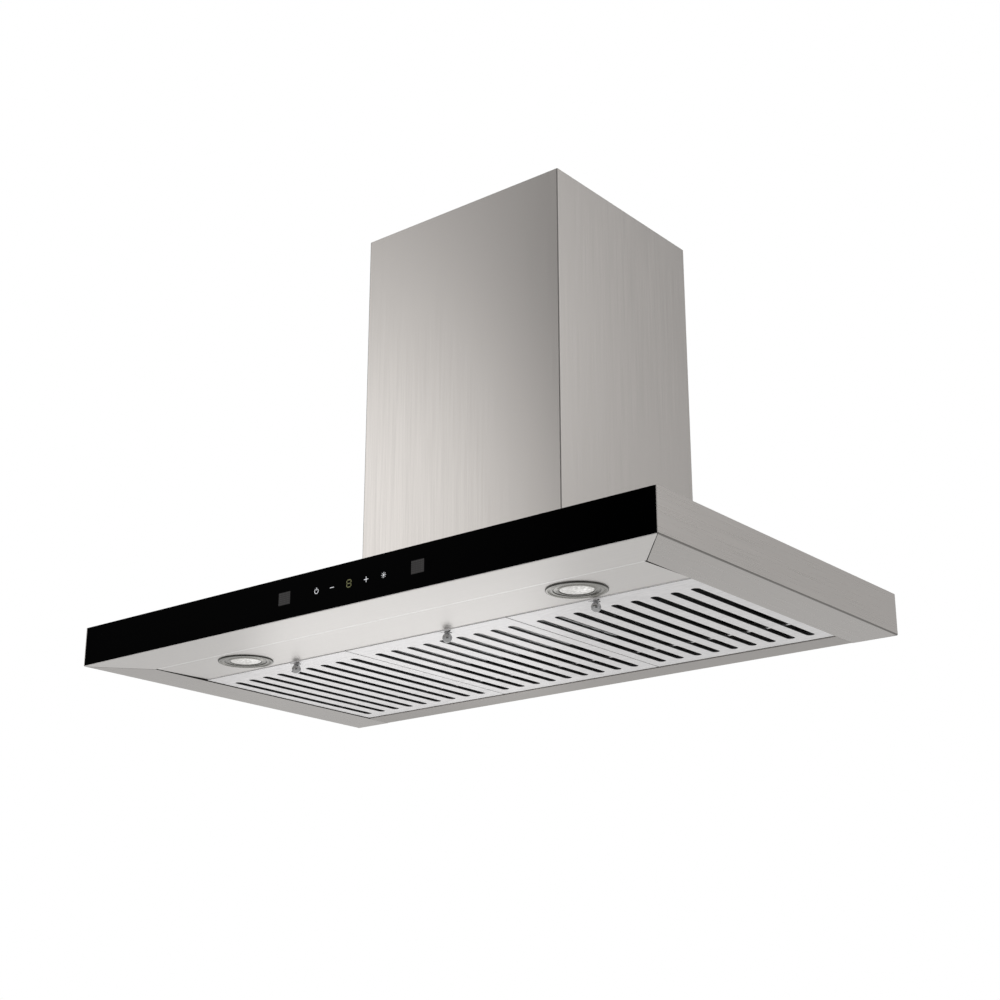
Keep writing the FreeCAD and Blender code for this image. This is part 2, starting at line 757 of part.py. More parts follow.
def scroll_outline(inset):
    """Closed face of the volute and its neck in the YZ plane, drawn at X = 0."""
    top = blower_top - blower_sheet
    radii = [scroll_tongue + step * scroll_growth - inset for step in range(4)]
    tongue = V(0, fan_y - inset, fan_z + radii[0])
    rear = V(0, fan_y + radii[1], fan_z)
    floor = V(0, fan_y, fan_z - radii[2])
    front = V(0, fan_y - radii[3], fan_z)
    edges = [quarter_arc(tongue, rear, 45, (radii[0] + radii[1]) / 2),
             quarter_arc(rear, floor, -45, (radii[1] + radii[2]) / 2),
             quarter_arc(floor, front, -135, (radii[2] + radii[3]) / 2),
             Part.makeLine(front, V(0, front.y, top)),
             Part.makeLine(V(0, front.y, top), V(0, tongue.y, top)),
             Part.makeLine(V(0, tongue.y, top), tongue)]
    return Part.Face(Part.Wire(edges))


def quarter_arc(start, end, middle_angle, middle_radius):
    """An arc through a middle point given by its angle and radius about the fan's axis."""
    angle = math.radians(middle_angle)
    middle = V(0, fan_y + middle_radius * math.cos(angle), fan_z + middle_radius * math.sin(angle))
    return Part.Arc(start, middle, end).toShape()


def scroll_wrap():
    """The curved strip of the scroll and its neck."""
    outer = scroll_outline(0.0).extrude(V(2 * scroll_half, 0, 0))
    inner = scroll_outline(scroll_sheet).extrude(V(2 * scroll_half, 0, 0))
    wrap = outer.cut(inner)
    wrap.translate(V(-scroll_half, 0, 0))
    return wrap


def scroll_plate():
    """One flat cheek of the scroll at X = 0, without its hole."""
    return scroll_outline(0.0).extrude(V(scroll_sheet, 0, 0))


def scroll_inlet_plate():
    """Left cheek with the air inlet."""
    plate = scroll_plate()
    plate.translate(V(-scroll_half - scroll_sheet, 0, 0))
    hole = rod(scroll_hole_radius + 1.0, 3 * scroll_sheet,
               V(-scroll_half - 2 * scroll_sheet, fan_y, fan_z), X_AXIS)
    return plate.cut(hole)


def inlet_ring():
    """Flared ring in the inlet cheek that leads the air into the impeller."""
    outer = scroll_hole_radius + 0.7
    points = [(outer - 2.0, inlet_ring_depth), (outer - 1.0, inlet_ring_depth),
              (outer, 0.0), (outer + 9.0, 0.0), (outer + 9.0, -1.2), (outer - 0.8, -1.2)]
    outline = [V(height, radius, 0) for radius, height in points]
    wire = Part.makePolygon(outline + [outline[0]])
    ring = Part.Face(wire).revolve(V(0, 0, 0), X_AXIS, 360)
    ring.translate(V(-scroll_half - scroll_sheet, fan_y, fan_z))
    return ring


def scroll_motor_plate():
    """Right cheek with the motor's opening."""
    plate = scroll_plate()
    plate.translate(V(scroll_half, 0, 0))
    hole = rod(hub_radius + 8, 3 * scroll_sheet, V(scroll_half - scroll_sheet, fan_y, fan_z),
               X_AXIS)
    return plate.cut(hole)


def impeller():
    """Squirrel-cage impeller: back disc, hub, forward blades and two end rings."""
    left = -impeller_width / 2
    right = impeller_width / 2
    centre = V(0, fan_y, fan_z)
    inner = impeller_radius - blade_depth
    disc = rod(impeller_radius, 1.5, centre + V(right - 1.5, 0, 0), X_AXIS)
    hub = rod(hub_radius, 26.0, centre + V(right - 22.0, 0, 0), X_AXIS)
    ring = tube(impeller_radius, inner + 4, 2.0, centre + V(left, 0, 0), X_AXIS)
    blade = box(left + 1.0, -blade_sheet / 2, -blade_depth / 2 + 0.6,
                right - 0.5, blade_sheet / 2, blade_depth / 2 - 0.6)
    blade.rotate(V(0, 0, 0), X_AXIS, blade_lean)
    blade.translate(V(0, 0, inner + blade_depth / 2))
    blades = []
    for step in range(blade_count):
        copy = blade.copy()
        copy.rotate(V(0, 0, 0), X_AXIS, 360.0 * step / blade_count)
        copy.translate(centre)
        blades.append(copy)
    cage = disc.fuse([hub, ring] + blades)
    return cage.cut(rod(shaft_radius, 60.0, centre + V(right - 30.0, 0, 0), X_AXIS))


def motor_shaft():
    """Shaft from the impeller's hub into the motor."""
    start = impeller_width / 2 - 20.0
    end = scroll_half + scroll_sheet + motor_plate_thickness + shaft_in_motor
    return rod(shaft_radius, end - start, V(start, fan_y, fan_z), X_AXIS)


def motor_parts():
    """Motor plate, motor, and the run capacitor beside it."""
    face = scroll_half + scroll_sheet
    centre = V(face, fan_y, fan_z)
    plate = tube(motor_plate_radius, hub_radius + 8, motor_plate_thickness, centre, X_AXIS)
    for place_y, place_z in motor_screw_places():
        plate = plate.cut(rod(motor_screw_radius + screw_play, motor_plate_thickness,
                              V(face, place_y, place_z), X_AXIS))
    start = centre + V(motor_plate_thickness, 0, 0)
    core = rod(motor_radius, motor_length - 16, start + V(8, 0, 0), X_AXIS)
    bells = [rod(motor_radius - 6, motor_length, start, X_AXIS),
             rod(hub_radius + 7, motor_length + motor_boss, start, X_AXIS)]
    motor = core.fuse(bells)
    motor = motor.cut(rod(shaft_radius + shaft_fit, shaft_in_motor + 1.0, start, X_AXIS))
    motor = one_solid(motor)
    distance = motor_plate_radius + capacitor_radius + capacitor_gap
    angle = math.radians(205)
    capacitor = rod(capacitor_radius, capacitor_length,
                    centre + V(0, distance * math.cos(angle), distance * math.sin(angle)), X_AXIS)
    return plate, motor, capacitor


def motor_screw_places():
    """Y and Z of the four screws round the motor plate."""
    reach = motor_plate_radius - motor_screw_inset
    angles = [math.radians(45 + 90 * step) for step in range(4)]
    return [(fan_y + reach * math.cos(a), fan_z + reach * math.sin(a)) for a in angles]


def blower_screws():
    """Four screws that hold the motor plate to the scroll's cheek."""
    face = scroll_half + scroll_sheet + motor_plate_thickness
    screws = [hex_screw(4.0, 3.0, motor_screw_radius, motor_plate_thickness,
                        V(face, place_y, place_z), X_AXIS)
              for place_y, place_z in motor_screw_places()]
    return group(screws)


# --------------------------------------------------------- the collar and damper
def duct_collar():
    """Round outlet collar with its foot flange and the ledge for the flaps."""
    t = duct_sheet
    base = V(0, duct_y, blower_top)
    pipe = tube(duct_radius, duct_radius - t, duct_length, base, Z_AXIS)
    foot = tube(duct_radius + duct_flange, duct_hole_radius, t, base, Z_AXIS)
    ledge_z = damper_height - damper_pin_radius - damper_fit - damper_sleeve_wall - damper_rest
    ledge = tube(duct_radius - t / 2, duct_radius - t - damper_seat, t,
                 base + V(0, 0, ledge_z - t), Z_AXIS)
    collar = pipe.fuse([foot, ledge])
    for side in (-1, 1):
        pin = rod(damper_pin_radius + 0.02, 2 * duct_radius + 10,
                  V(-duct_radius - 5, duct_y + side * damper_pin_spacing / 2, damper_z), X_AXIS)
        collar = collar.cut(pin)
    return one_solid(collar)


def damper_pins():
    """Two pins across the collar, one for each flap, headed outside."""
    pins = []
    for side in (-1, 1):
        y = duct_y + side * damper_pin_spacing / 2
        reach = math.sqrt(duct_radius ** 2 - (damper_pin_spacing / 2) ** 2)
        pins.append(rod(damper_pin_radius, 2 * reach, V(-reach, y, damper_z), X_AXIS))
    return group(pins)


def damper_flap():
    """Rear flap: a half disc hanging on sleeves round the rear pin."""
    pin_y = duct_y + damper_pin_spacing / 2
    sleeve = damper_pin_radius + damper_fit + damper_sleeve_wall
    low = damper_z - sleeve
    reach = duct_radius - duct_sheet - damper_clearance
    disc = rod(reach, damper_sheet, V(0, duct_y, low), Z_AXIS)
    half = disc.common(box(-reach - 1, pin_y, low - 1, reach + 1, duct_y + reach + 1, low + 5))
    flap = half
    for side in (-1, 1):
        sleeve_x = side * 34.0
        flap = flap.fuse(rod(sleeve, 24.0, V(sleeve_x - 12, pin_y, damper_z), X_AXIS))
    bore = rod(damper_pin_radius + damper_fit, 2 * reach + 4, V(-reach - 2, pin_y, damper_z), X_AXIS)
    return one_solid(flap.cut(bore))


def front_flap():
    """Front flap: the rear one turned half round the collar's axis."""
    flap = damper_flap()
    flap.rotate(V(0, duct_y, 0), Z_AXIS, 180)
    return flap


# ------------------------------------------------------------------- the chimney
def chimney_lower_cover():
    """Outer chimney cover: a folded U that stands on the canopy."""
    cover = folded_channel((chimney_width / 2, -chimney_depth, 0.0), chimney_sheet,
                           canopy_height, chimney_top)
    half = chimney_width / 2
    for side in (-1, 1):
        flange = box(min(side * half, side * (half - chimney_return)), -chimney_sheet,
                     canopy_height, max(side * half, side * (half - chimney_return)), 0,
                     chimney_top)
        cover = cover.fuse(flange)
    return one_solid(cover)


def chimney_upper_cover():
    """Inner chimney cover, stored inside the outer one; it slides up to the ceiling."""
    half = inner_cover_half
    rear = inner_cover_rear_y
    high = chimney_top - upper_cover_drop
    low = high - inner_cover_length
    cover = folded_channel((half, inner_cover_front_y, rear), chimney_sheet, low, high)
    for side in (-1, 1):
        flange = box(min(side * half, side * (half - chimney_return)), rear - chimney_sheet,
                     low, max(side * half, side * (half - chimney_return)), rear, high)
        cover = cover.fuse(flange)
    return one_solid(cover)


def chimney_wall_bracket():
    """U-shaped wall bracket inside the chimney's top, with two holes to the wall."""
    half = inner_cover_half - chimney_sheet - bracket_fit
    rear = inner_cover_rear_y - chimney_sheet - bracket_fit
    high = chimney_top - bracket_drop
    low = high - bracket_height
    inner_half = half - chimney_return - bracket_wing
    back = box(-inner_half, -bracket_sheet, low, inner_half, 0, high)
    arms = []
    for side in (-1, 1):
        spacer = box(min(side * inner_half, side * (inner_half - bracket_sheet)),
                     rear - bracket_sheet, low,
                     max(side * inner_half, side * (inner_half - bracket_sheet)), 0, high)
        wing = box(min(side * inner_half, side * half), rear - bracket_sheet, low,
                   max(side * inner_half, side * half), rear, high)
        arm = box(min(side * (half - bracket_sheet), side * half), rear - bracket_depth, low,
                  max(side * (half - bracket_sheet), side * half), rear, high)
        arms += [spacer, wing, arm]
    bracket = one_solid(back.fuse(arms))
    for side in (-1, 1):
        bracket = bracket.cut(rod(bracket_hole_radius, 3 * bracket_sheet,
                                  V(side * (inner_half - bracket_hole_inset), -2 * bracket_sheet,
                                    (low + high) / 2), Y_AXIS))
    return bracket


def hanging_plate():
    """Plate on the blower box's back that hangs on two wall screws."""
    high = blower_top - hanging_plate_drop
    low = high - hanging_plate_height
    half = blower_width / 2 - hanging_plate_inset
    plate = box(-half, blower_rear_y, low, half, 0, high)
    for side in (-1, 1):
        plate = plate.cut(rod(hanging_hole_radius, 3 * blower_rear_gap,
                              V(side * (half - hanging_hole_inset), -2 * blower_rear_gap,
                                (low + high) / 2), Y_AXIS))
    return plate


# ------------------------------------------------------------------ all the nodes
def all_nodes():
    """Every node by name."""
    nodes = {}
    nodes["canopy_right_side"] = canopy_side()
    nodes["canopy_left_side"] = mirrored(canopy_side())
    nodes["canopy_rear_panel"] = canopy_rear()
    nodes["canopy_top_panel"] = canopy_top()
    nodes["front_rail"] = front_rail()
    nodes["lamp_panel"] = lamp_panel()
    nodes["corner_brackets"] = corner_brackets()
    nodes["control_glass"] = control_glass()
    nodes["glass_tape"] = glass_tape()
    shell, board, display, pads = control_parts()
    nodes["control_housing"] = shell
    nodes["control_board"] = board
    nodes["display_module"] = display
    nodes["touch_pads"] = pads
    nodes["sensor_windows"] = sensor_windows()
    clips = []
    boards = []
    for name, side in (("left", -1), ("right", 1)):
        nodes["lamp_bezel_" + name] = seat_lamp(lamp_bezel(), side)
        nodes["lamp_lens_" + name] = seat_lamp(lamp_lens(), side)
        nodes["lamp_body_" + name] = seat_lamp(lamp_body(), side)
        boards.append(seat_lamp(lamp_board(), side))
        clips += [seat_lamp(clip, side) for clip in lamp_clips()]
    nodes["lamp_boards"] = group(boards)
    nodes["lamp_clips"] = group(clips)
    for index in range(filter_count):
        number = str(index + 1)
        nodes["filter_tray_" + number] = one_solid(filter_tray(index).fuse(spring_rib(index)))
        nodes["filter_rods_" + number] = tie_rods(index)
        nodes["filter_knob_" + number] = filter_knob(index)
        nodes["filter_latch_" + number] = filter_latch(index)
        nodes["latch_spring_" + number] = latch_spring(index)
    tray, board, parts = electronics_parts()
    nodes["electronics_tray"] = tray
    nodes["main_board"] = board
    nodes["main_board_parts"] = parts
    nodes["blower_box"] = blower_box()
    nodes["mains_gland"] = mains_gland()
    nodes["scroll_wrap"] = scroll_wrap()
    nodes["scroll_inlet_plate"] = scroll_inlet_plate()
    nodes["scroll_motor_plate"] = scroll_motor_plate()
    nodes["inlet_ring"] = inlet_ring()
    nodes["impeller"] = impeller()
    nodes["motor_shaft"] = motor_shaft()
    plate, motor, capacitor = motor_parts()
    nodes["motor_plate"] = plate
    nodes["motor"] = motor
    nodes["motor_capacitor"] = capacitor
    nodes["blower_screws"] = blower_screws()
    nodes["duct_collar"] = duct_collar()
    nodes["damper_pins"] = damper_pins()
    nodes["damper_flap_rear"] = damper_flap()
    nodes["damper_flap_front"] = front_flap()
    nodes["chimney_lower_cover"] = chimney_lower_cover()
    nodes["chimney_upper_cover"] = chimney_upper_cover()
    nodes["chimney_wall_bracket"] = chimney_wall_bracket()
    nodes["hanging_plate"] = hanging_plate()
    return nodes


def main():
    """Build every node and write one STEP file for each."""
    os.makedirs("parts", exist_ok=True)
    nodes = all_nodes()
    for name, shape in nodes.items():
        box_size = shape.BoundBox
        print(name, len(shape.Solids), "solid(s)", "valid" if shape.isValid() else "NOT VALID",
              round(shape.Volume), [round(value, 1) for value in
                                    (box_size.XMin, box_size.YMin, box_size.ZMin,
                                     box_size.XMax, box_size.YMax, box_size.ZMax)])
        shape.exportStep("parts/" + name + ".step")
    print(len(nodes), "nodes")


main()
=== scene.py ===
# %% [markdown]
# # A wall chimney hood in brushed steel and black glass
#
# The engineering model already says where every sheet, motor and screw sits. This script
# loads it as a fixed frame and gives it the look of the finished appliance: folded sheets
# with real bend radii, slots with a rolled edge, turned lamp rings, chrome knobs, and a
# material for every finish. All lengths are metres. X runs to the right, Y towards the
# wall and Z up; the underside of the canopy is Z = 0 and the wall is Y = 0.

# %% Load the frame
import math

import bmesh
import bpy
from mathutils import Matrix, Vector


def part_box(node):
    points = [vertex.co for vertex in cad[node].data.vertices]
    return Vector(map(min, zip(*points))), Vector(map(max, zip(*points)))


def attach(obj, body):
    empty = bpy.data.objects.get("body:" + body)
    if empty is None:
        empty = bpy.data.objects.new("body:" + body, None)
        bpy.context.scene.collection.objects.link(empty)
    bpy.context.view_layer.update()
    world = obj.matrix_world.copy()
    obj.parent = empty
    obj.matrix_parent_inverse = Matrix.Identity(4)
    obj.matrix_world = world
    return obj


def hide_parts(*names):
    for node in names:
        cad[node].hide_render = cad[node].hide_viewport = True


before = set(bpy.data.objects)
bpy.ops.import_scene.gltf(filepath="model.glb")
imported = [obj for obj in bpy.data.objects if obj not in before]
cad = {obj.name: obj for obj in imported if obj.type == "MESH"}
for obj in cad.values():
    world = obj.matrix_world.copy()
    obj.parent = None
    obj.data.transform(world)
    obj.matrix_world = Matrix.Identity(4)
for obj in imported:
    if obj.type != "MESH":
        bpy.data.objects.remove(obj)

scene = bpy.context.scene
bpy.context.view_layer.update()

# %% [markdown]
# ## Camera
#
# The hood is seen from below and from its right, the way a person at the cooker looks up
# at it. The eye point and the two directions below set that view. The lens is a short
# telephoto, so the long edges converge only a little. An object's matrix is made from its
# right, up and backward directions, which is safer than turning it by three angles.

# %% Place the camera
EYE = Vector((1.3426, -1.8744, -0.5198))
LOOK = Vector((-0.5943, 0.7356, 0.3251)).normalized()
UP = Vector((0.2047, -0.2525, 0.9457)).normalized()
LENS = 61.54

camera_data = bpy.data.cameras.new("view")
camera_data.sensor_width = 36.0
camera_data.lens = LENS
camera_data.clip_start = 0.05
camera = bpy.data.objects.new("view", camera_data)
right = LOOK.cross(UP).normalized()
up = right.cross(LOOK)
camera.matrix_world = Matrix.Translation(EYE) @ Matrix((right, up, -LOOK)).transposed().to_4x4()
scene.collection.objects.link(camera)
scene.camera = camera
print("camera at", tuple(round(c, 3) for c in EYE), "lens", LENS, "mm")

# %% [markdown]
# ## Studio light
#
# Brushed steel shows what stands around it, so the room matters more than the lamps. The
# world is one even level with soft glows added to it: each glow has a direction, and a
# power makes it wide or narrow. A negative glow is a dark side of the room. A narrow pale
# one and a narrow dark one at the left shade the chimney's front from pale to grey, and a
# second pair does the same for its side. They stand where those faces mirror the room for
# the camera above, so from elsewhere the steel is plainer, and wide weak glows keep it
# from going dark there. The camera itself sees plain white behind the hood, which a Light
# Path node gives without changing what the steel reflects. The plain standard view keeps
# white as white.

# %% Studio world
scene.view_settings.view_transform = "Standard"
scene.view_settings.look = "None"

world = bpy.data.worlds.new("studio")
world.use_nodes = True
scene.world = world
sky = world.node_tree


def add_node(tree, kind, **settings):
    """Adds a node and sets its properties."""
    made = tree.nodes.new(kind)
    for key, value in settings.items():
        setattr(made, key, value)
    return made


def math_node(tree, operation, first, second=None):
    """A Math node fed by sockets or plain numbers."""
    made = add_node(tree, "ShaderNodeMath", operation=operation)
    for slot, value in zip(made.inputs, (first, second)):
        if isinstance(value, (int, float)):
            slot.default_value = value
        elif value is not None:
            tree.links.new(value, slot)
    return made.outputs[0]


WORLD_LEVEL = 0.43
WORLD_DARKEST = 0.05
WORLD_GLOWS = (    # direction, how narrow, how bright
    ((-0.594, 0.736, -0.325), 3.0, 0.27),     # low behind: the underside
    ((0.62, -0.76, -0.22), 7.0, -0.38),       # dark, towards the viewer: the knobs
    ((-0.640, -0.700, 0.317), 95.0, 1.32),    # front left: the chimney's front
    ((-0.474, -0.812, 0.339), 90.0, -1.40),   # dark beside it
    ((0.654, 0.642, 0.400), 85.0, 1.19),      # rear right: the chimney's side
    ((0.545, 0.719, 0.432), 85.0, -0.37),     # dark beside it
    ((-0.05, -0.98, -0.25), 10.0, 0.24),      # front
    ((0.98, 0.02, -0.20), 12.0, 0.22),        # right
    ((-0.98, -0.10, -0.10), 16.0, 0.18),      # left
    ((0.30, 0.95, -0.05), 16.0, 0.14),        # behind
    ((0.0, 0.0, 1.0), 4.0, 0.28),             # overhead
)
WHITE = (1.0, 1.0, 1.0, 1.0)
direction = add_node(sky, "ShaderNodeTexCoord")
level = math_node(sky, "ADD", WORLD_LEVEL, 0.0)
for toward, narrow, bright in WORLD_GLOWS:
    facing = add_node(sky, "ShaderNodeVectorMath", operation="DOT_PRODUCT")
    sky.links.new(direction.outputs["Generated"], facing.inputs[0])
    facing.inputs[1].default_value = Vector(toward).normalized()
    lobe = math_node(sky, "POWER", math_node(sky, "MAXIMUM", facing.outputs["Value"], 0.0), narrow)
    level = math_node(sky, "ADD", math_node(sky, "MULTIPLY", lobe, bright), level)
level = math_node(sky, "MAXIMUM", level, WORLD_DARKEST)
ray = add_node(sky, "ShaderNodeLightPath")
seen = add_node(sky, "ShaderNodeMix", data_type="FLOAT")
sky.links.new(ray.outputs["Is Camera Ray"], seen.inputs[0])
sky.links.new(level, seen.inputs[2])
seen.inputs[3].default_value = 1.0
backdrop = sky.nodes["Background"]
backdrop.inputs["Color"].default_value = WHITE
sky.links.new(seen.outputs[0], backdrop.inputs["Strength"])
print("world nodes", len(sky.nodes))

# %% [markdown]
# ## Soft box and floor
#
# One rectangular light low behind the hood brightens the middle of the lamp panel. A
# light's power is spread over its face, so the power is worked out from the brightness
# wanted and the size. The floor is a plain pale sheet far below.


# %% Soft box and floor
def soft_box(name, place, target, width, height, brightness):
    """A rectangular light that looks at a target; a brightness of 1 is white."""
    data = bpy.data.lights.new(name, "AREA")
    data.shape = "RECTANGLE"
    data.size = width
    data.size_y = height
    data.energy = brightness * math.pi * width * height
    lamp = bpy.data.objects.new(name, data)
    lamp.location = place
    lamp.rotation_euler = (Vector(target) - Vector(place)).to_track_quat("-Z", "Y").to_euler()
    lamp.visible_camera = False
    scene.collection.objects.link(lamp)


soft_box("under_middle", (-0.35, 0.00, -0.22), (0.0, -0.42, 0.0), 0.45, 0.15, 0.94)

FLOOR_HEIGHT = -0.95
FLOOR_HALF = 1.6
FLOOR_MIDDLE = -0.25      # along Y
floor_mesh = bmesh.new()
bmesh.ops.create_grid(floor_mesh, x_segments=2, y_segments=2, size=FLOOR_HALF)
bmesh.ops.translate(floor_mesh, verts=floor_mesh.verts, vec=(0, FLOOR_MIDDLE, FLOOR_HEIGHT))
floor_data = bpy.data.meshes.new("floor")
floor_mesh.to_mesh(floor_data)
floor_mesh.free()
floor = bpy.data.objects.new("floor", floor_data)
scene.collection.objects.link(floor)
print("floor at", FLOOR_HEIGHT)

# %% [markdown]
# ## Finishes
#
# Every finish is a node material on Object coordinates, which for these pieces are the
# same metres as the model, so a grain line has its true width wherever it lies. One
# helper makes the material, and one stretched noise makes all brushed steel: it changes
# slowly along the grain and quickly across it. The noise moves the colour, the roughness
# and a very small bump together, because on real steel they are the same scratches.


# %% Material helpers
NOISE_ROUGHNESS = 0.6
NOISE_LOW, NOISE_HIGH = 0.3, 0.7      # most of a noise lies between these


def new_material(name, color, metallic=0.0, roughness=0.5, specular=0.5):
    """A material whose constants sit on the shader's own sockets."""
    material = bpy.data.materials.new(name)
    material.use_nodes = True
    shader = material.node_tree.nodes["Principled BSDF"]
    shader.inputs["Base Color"].default_value = (*color, 1.0)
    shader.inputs["Metallic"].default_value = metallic
    shader.inputs["Roughness"].default_value = roughness
    shader.inputs["Specular IOR Level"].default_value = specular
    return material, shader


def stretched_noise(tree, stretch, detail=4.0):
    """Noise on Object coordinates with its own frequency along X, Y and Z."""
    place = add_node(tree, "ShaderNodeTexCoord")
    mapping = add_node(tree, "ShaderNodeMapping")
    mapping.inputs["Scale"].default_value = stretch
    noise = add_node(tree, "ShaderNodeTexNoise")
    noise.inputs["Scale"].default_value = 1.0
    noise.inputs["Detail"].default_value = detail
    noise.inputs["Roughness"].default_value = NOISE_ROUGHNESS
    tree.links.new(place.outputs["Object"], mapping.inputs["Vector"])
    tree.links.new(mapping.outputs["Vector"], noise.inputs["Vector"])
    return noise.outputs["Fac"]


def color_between(tree, factor, dark, pale, low=NOISE_LOW, high=NOISE_HIGH):
    """A two-colour ramp over a factor."""
    ramp = add_node(tree, "ShaderNodeValToRGB")
    ramp.color_ramp.elements[0].position = low
    ramp.color_ramp.elements[1].position = high
    ramp.color_ramp.elements[0].color = (*dark, 1.0)
    ramp.color_ramp.elements[1].color = (*pale, 1.0)
    tree.links.new(factor, ramp.inputs["Fac"])
    return ramp.outputs["Color"]


def span(tree, factor, low, high):
    """Maps a noise onto a range."""
    made = add_node(tree, "ShaderNodeMapRange")
    made.inputs["From Min"].default_value = NOISE_LOW
    made.inputs["From Max"].default_value = NOISE_HIGH
    made.inputs["To Min"].default_value = low
    made.inputs["To Max"].default_value = high
    tree.links.new(factor, made.inputs["Value"])
    return made.outputs["Result"]


def add_bump(tree, shader, factor, strength, distance):
    """A bump of a real depth."""
    bump = add_node(tree, "ShaderNodeBump")
    bump.inputs["Strength"].default_value = strength
    bump.inputs["Distance"].default_value = distance
    tree.links.new(factor, bump.inputs["Height"])
    tree.links.new(bump.outputs["Normal"], shader.inputs["Normal"])


def scaled(color, factor):
    """A colour made lighter or darker."""
    return tuple(min(channel * factor, 1.0) for channel in color)


print("helpers ready")

# %% [markdown]
# ## Brushed steel
#
# All the visible sheets are brushed steel. One colour is the base, and each sheet has its
# own step lighter or darker. On a real hood they would be one and the same steel: the
# steps are painted light and shade, so that the sheets read apart. The lamp panel is
# painted lighter, the rear panel and the side flanges darker. The filters are paler and
# only part metallic, with a coarser grain, which is a choice as well.

# %% Brushed steel
GRAIN_ACROSS = 700.0      # cycles a metre across the grain
GRAIN_ALONG = 7.0
SCRATCH_DEPTH = 0.00005


def brushed(name, axis, color, rough=(0.26, 0.32), contrast=0.03, bump=0.05, metallic=1.0,
            across=GRAIN_ACROSS, along=GRAIN_ALONG):
    """Satin steel whose grain runs along one axis (0 for X, 1 for Y, 2 for Z)."""
    material, shader = new_material(name, color, metallic, roughness=rough[0])
    tree = material.node_tree
    stretch = [across] * 3
    stretch[axis] = along
    grain = stretched_noise(tree, stretch, detail=5.0)
    tint = color_between(tree, grain, scaled(color, 1 - contrast), scaled(color, 1 + contrast))
    tree.links.new(tint, shader.inputs["Base Color"])
    tree.links.new(span(tree, grain, rough[0], rough[1]), shader.inputs["Roughness"])
    add_bump(tree, shader, grain, bump, SCRATCH_DEPTH)
    return material


STEEL = (0.628, 0.597, 0.570)
# Each sheet's step from STEEL is painted light or shade: lighter for the lamp panel, darker for
# the rear panel and the flanges.
steel_x_painted_light = brushed("brushed_steel_width_painted_light", 0, (0.735, 0.714, 0.696), rough=(0.38, 0.44))
steel_rear_painted_shade = brushed("brushed_steel_rear_painted_shade", 0, scaled(STEEL, 0.70), rough=(0.36, 0.42))
steel_y = brushed("brushed_steel_depth", 1, scaled(STEEL, 1.05))
steel_flange_painted_shade = brushed("brushed_steel_flange_painted_shade", 1, scaled(STEEL, 0.77))
steel_z = brushed("brushed_steel_upright", 2, scaled(STEEL, 1.08), rough=(0.18, 0.24),
                  contrast=0.018)
FILTER_TONE = (0.90, 0.885, 0.89)
FILTER_LOOK = {"rough": (0.34, 0.50), "contrast": 0.10, "metallic": 0.6,
               "across": 330.0, "along": 55.0}
filter_steel = brushed("filter_steel", 0, FILTER_TONE, **FILTER_LOOK)
print("brushed finishes ready")

# %% [markdown]
# ## Zinc and painted shade inside
#
# The hidden sheets are zinc-coated. The top sheet has steel above and painted shade below,
# the scroll is painted dark as well, and the filter trays are painted dark above their
# face. All three are painted shade that makes the inside of the hood and the slots read
# as black; a bare tray would be steel on both sides. The height in the model decides
# which finish a sheet shows.

# %% Zinc, dark lining and the canopy's top
INSIDE_SHADE = (0.012, 0.012, 0.012)


def zinc(name, color=(0.50, 0.515, 0.52)):
    """Zinc-coated sheet: dull, with a faint spangle of crystals."""
    material, shader = new_material(name, color, metallic=0.85, roughness=0.45)
    tree = material.node_tree
    place = add_node(tree, "ShaderNodeTexCoord")
    cells = add_node(tree, "ShaderNodeTexVoronoi")
    cells.inputs["Scale"].default_value = 95.0
    tree.links.new(place.outputs["Object"], cells.inputs["Vector"])
    tint = color_between(tree, cells.outputs["Distance"], scaled(color, 0.93), scaled(color, 1.05))
    tree.links.new(tint, shader.inputs["Base Color"])
    tree.links.new(span(tree, cells.outputs["Distance"], 0.38, 0.52), shader.inputs["Roughness"])
    return material


def painted_shade_surface(name, color=INSIDE_SHADE):
    """Dark surface with a fine orange-peel bump: painted shade for the inside of the hood."""
    material, shader = new_material(name, color, roughness=0.85, specular=0.15)
    tree = material.node_tree
    peel = stretched_noise(tree, (260.0, 260.0, 260.0))
    tint = color_between(tree, peel, scaled(color, 0.7), scaled(color, 1.4))
    tree.links.new(tint, shader.inputs["Base Color"])
    add_bump(tree, shader, peel, 0.3, 0.0002)
    return material


def paint_shade_side(material, edge_height, shade_above, color, metallic, roughness):
    """Paints one side of a sheet, above or below a height, dark and dull: painted shade."""
    tree = material.node_tree
    shader = tree.nodes["Principled BSDF"]
    place = add_node(tree, "ShaderNodeTexCoord")
    split = add_node(tree, "ShaderNodeSeparateXYZ")
    tree.links.new(place.outputs["Object"], split.inputs[0])
    # This mask picks the side of the sheet that gets the painted shade.
    dull = math_node(tree, "GREATER_THAN" if shade_above else "LESS_THAN", split.outputs["Z"],
                     edge_height)
    tint_mix = add_node(tree, "ShaderNodeMix", data_type="RGBA")
    tree.links.new(dull, tint_mix.inputs[0])
    tree.links.new(shader.inputs["Base Color"].links[0].from_socket, tint_mix.inputs[6])
    tint_mix.inputs[7].default_value = (*color, 1.0)
    tree.links.new(tint_mix.outputs[2], shader.inputs["Base Color"])
    rough_mix = add_node(tree, "ShaderNodeMix", data_type="FLOAT")
    tree.links.new(dull, rough_mix.inputs[0])
    tree.links.new(shader.inputs["Roughness"].links[0].from_socket, rough_mix.inputs[2])
    rough_mix.inputs[3].default_value = roughness
    tree.links.new(rough_mix.outputs[0], shader.inputs["Roughness"])
    metal_mix = add_node(tree, "ShaderNodeMix", data_type="FLOAT")
    tree.links.new(dull, metal_mix.inputs[0])
    metal_mix.inputs[2].default_value = shader.inputs["Metallic"].default_value
    metal_mix.inputs[3].default_value = metallic
    tree.links.new(metal_mix.outputs[0], shader.inputs["Metallic"])
    return material


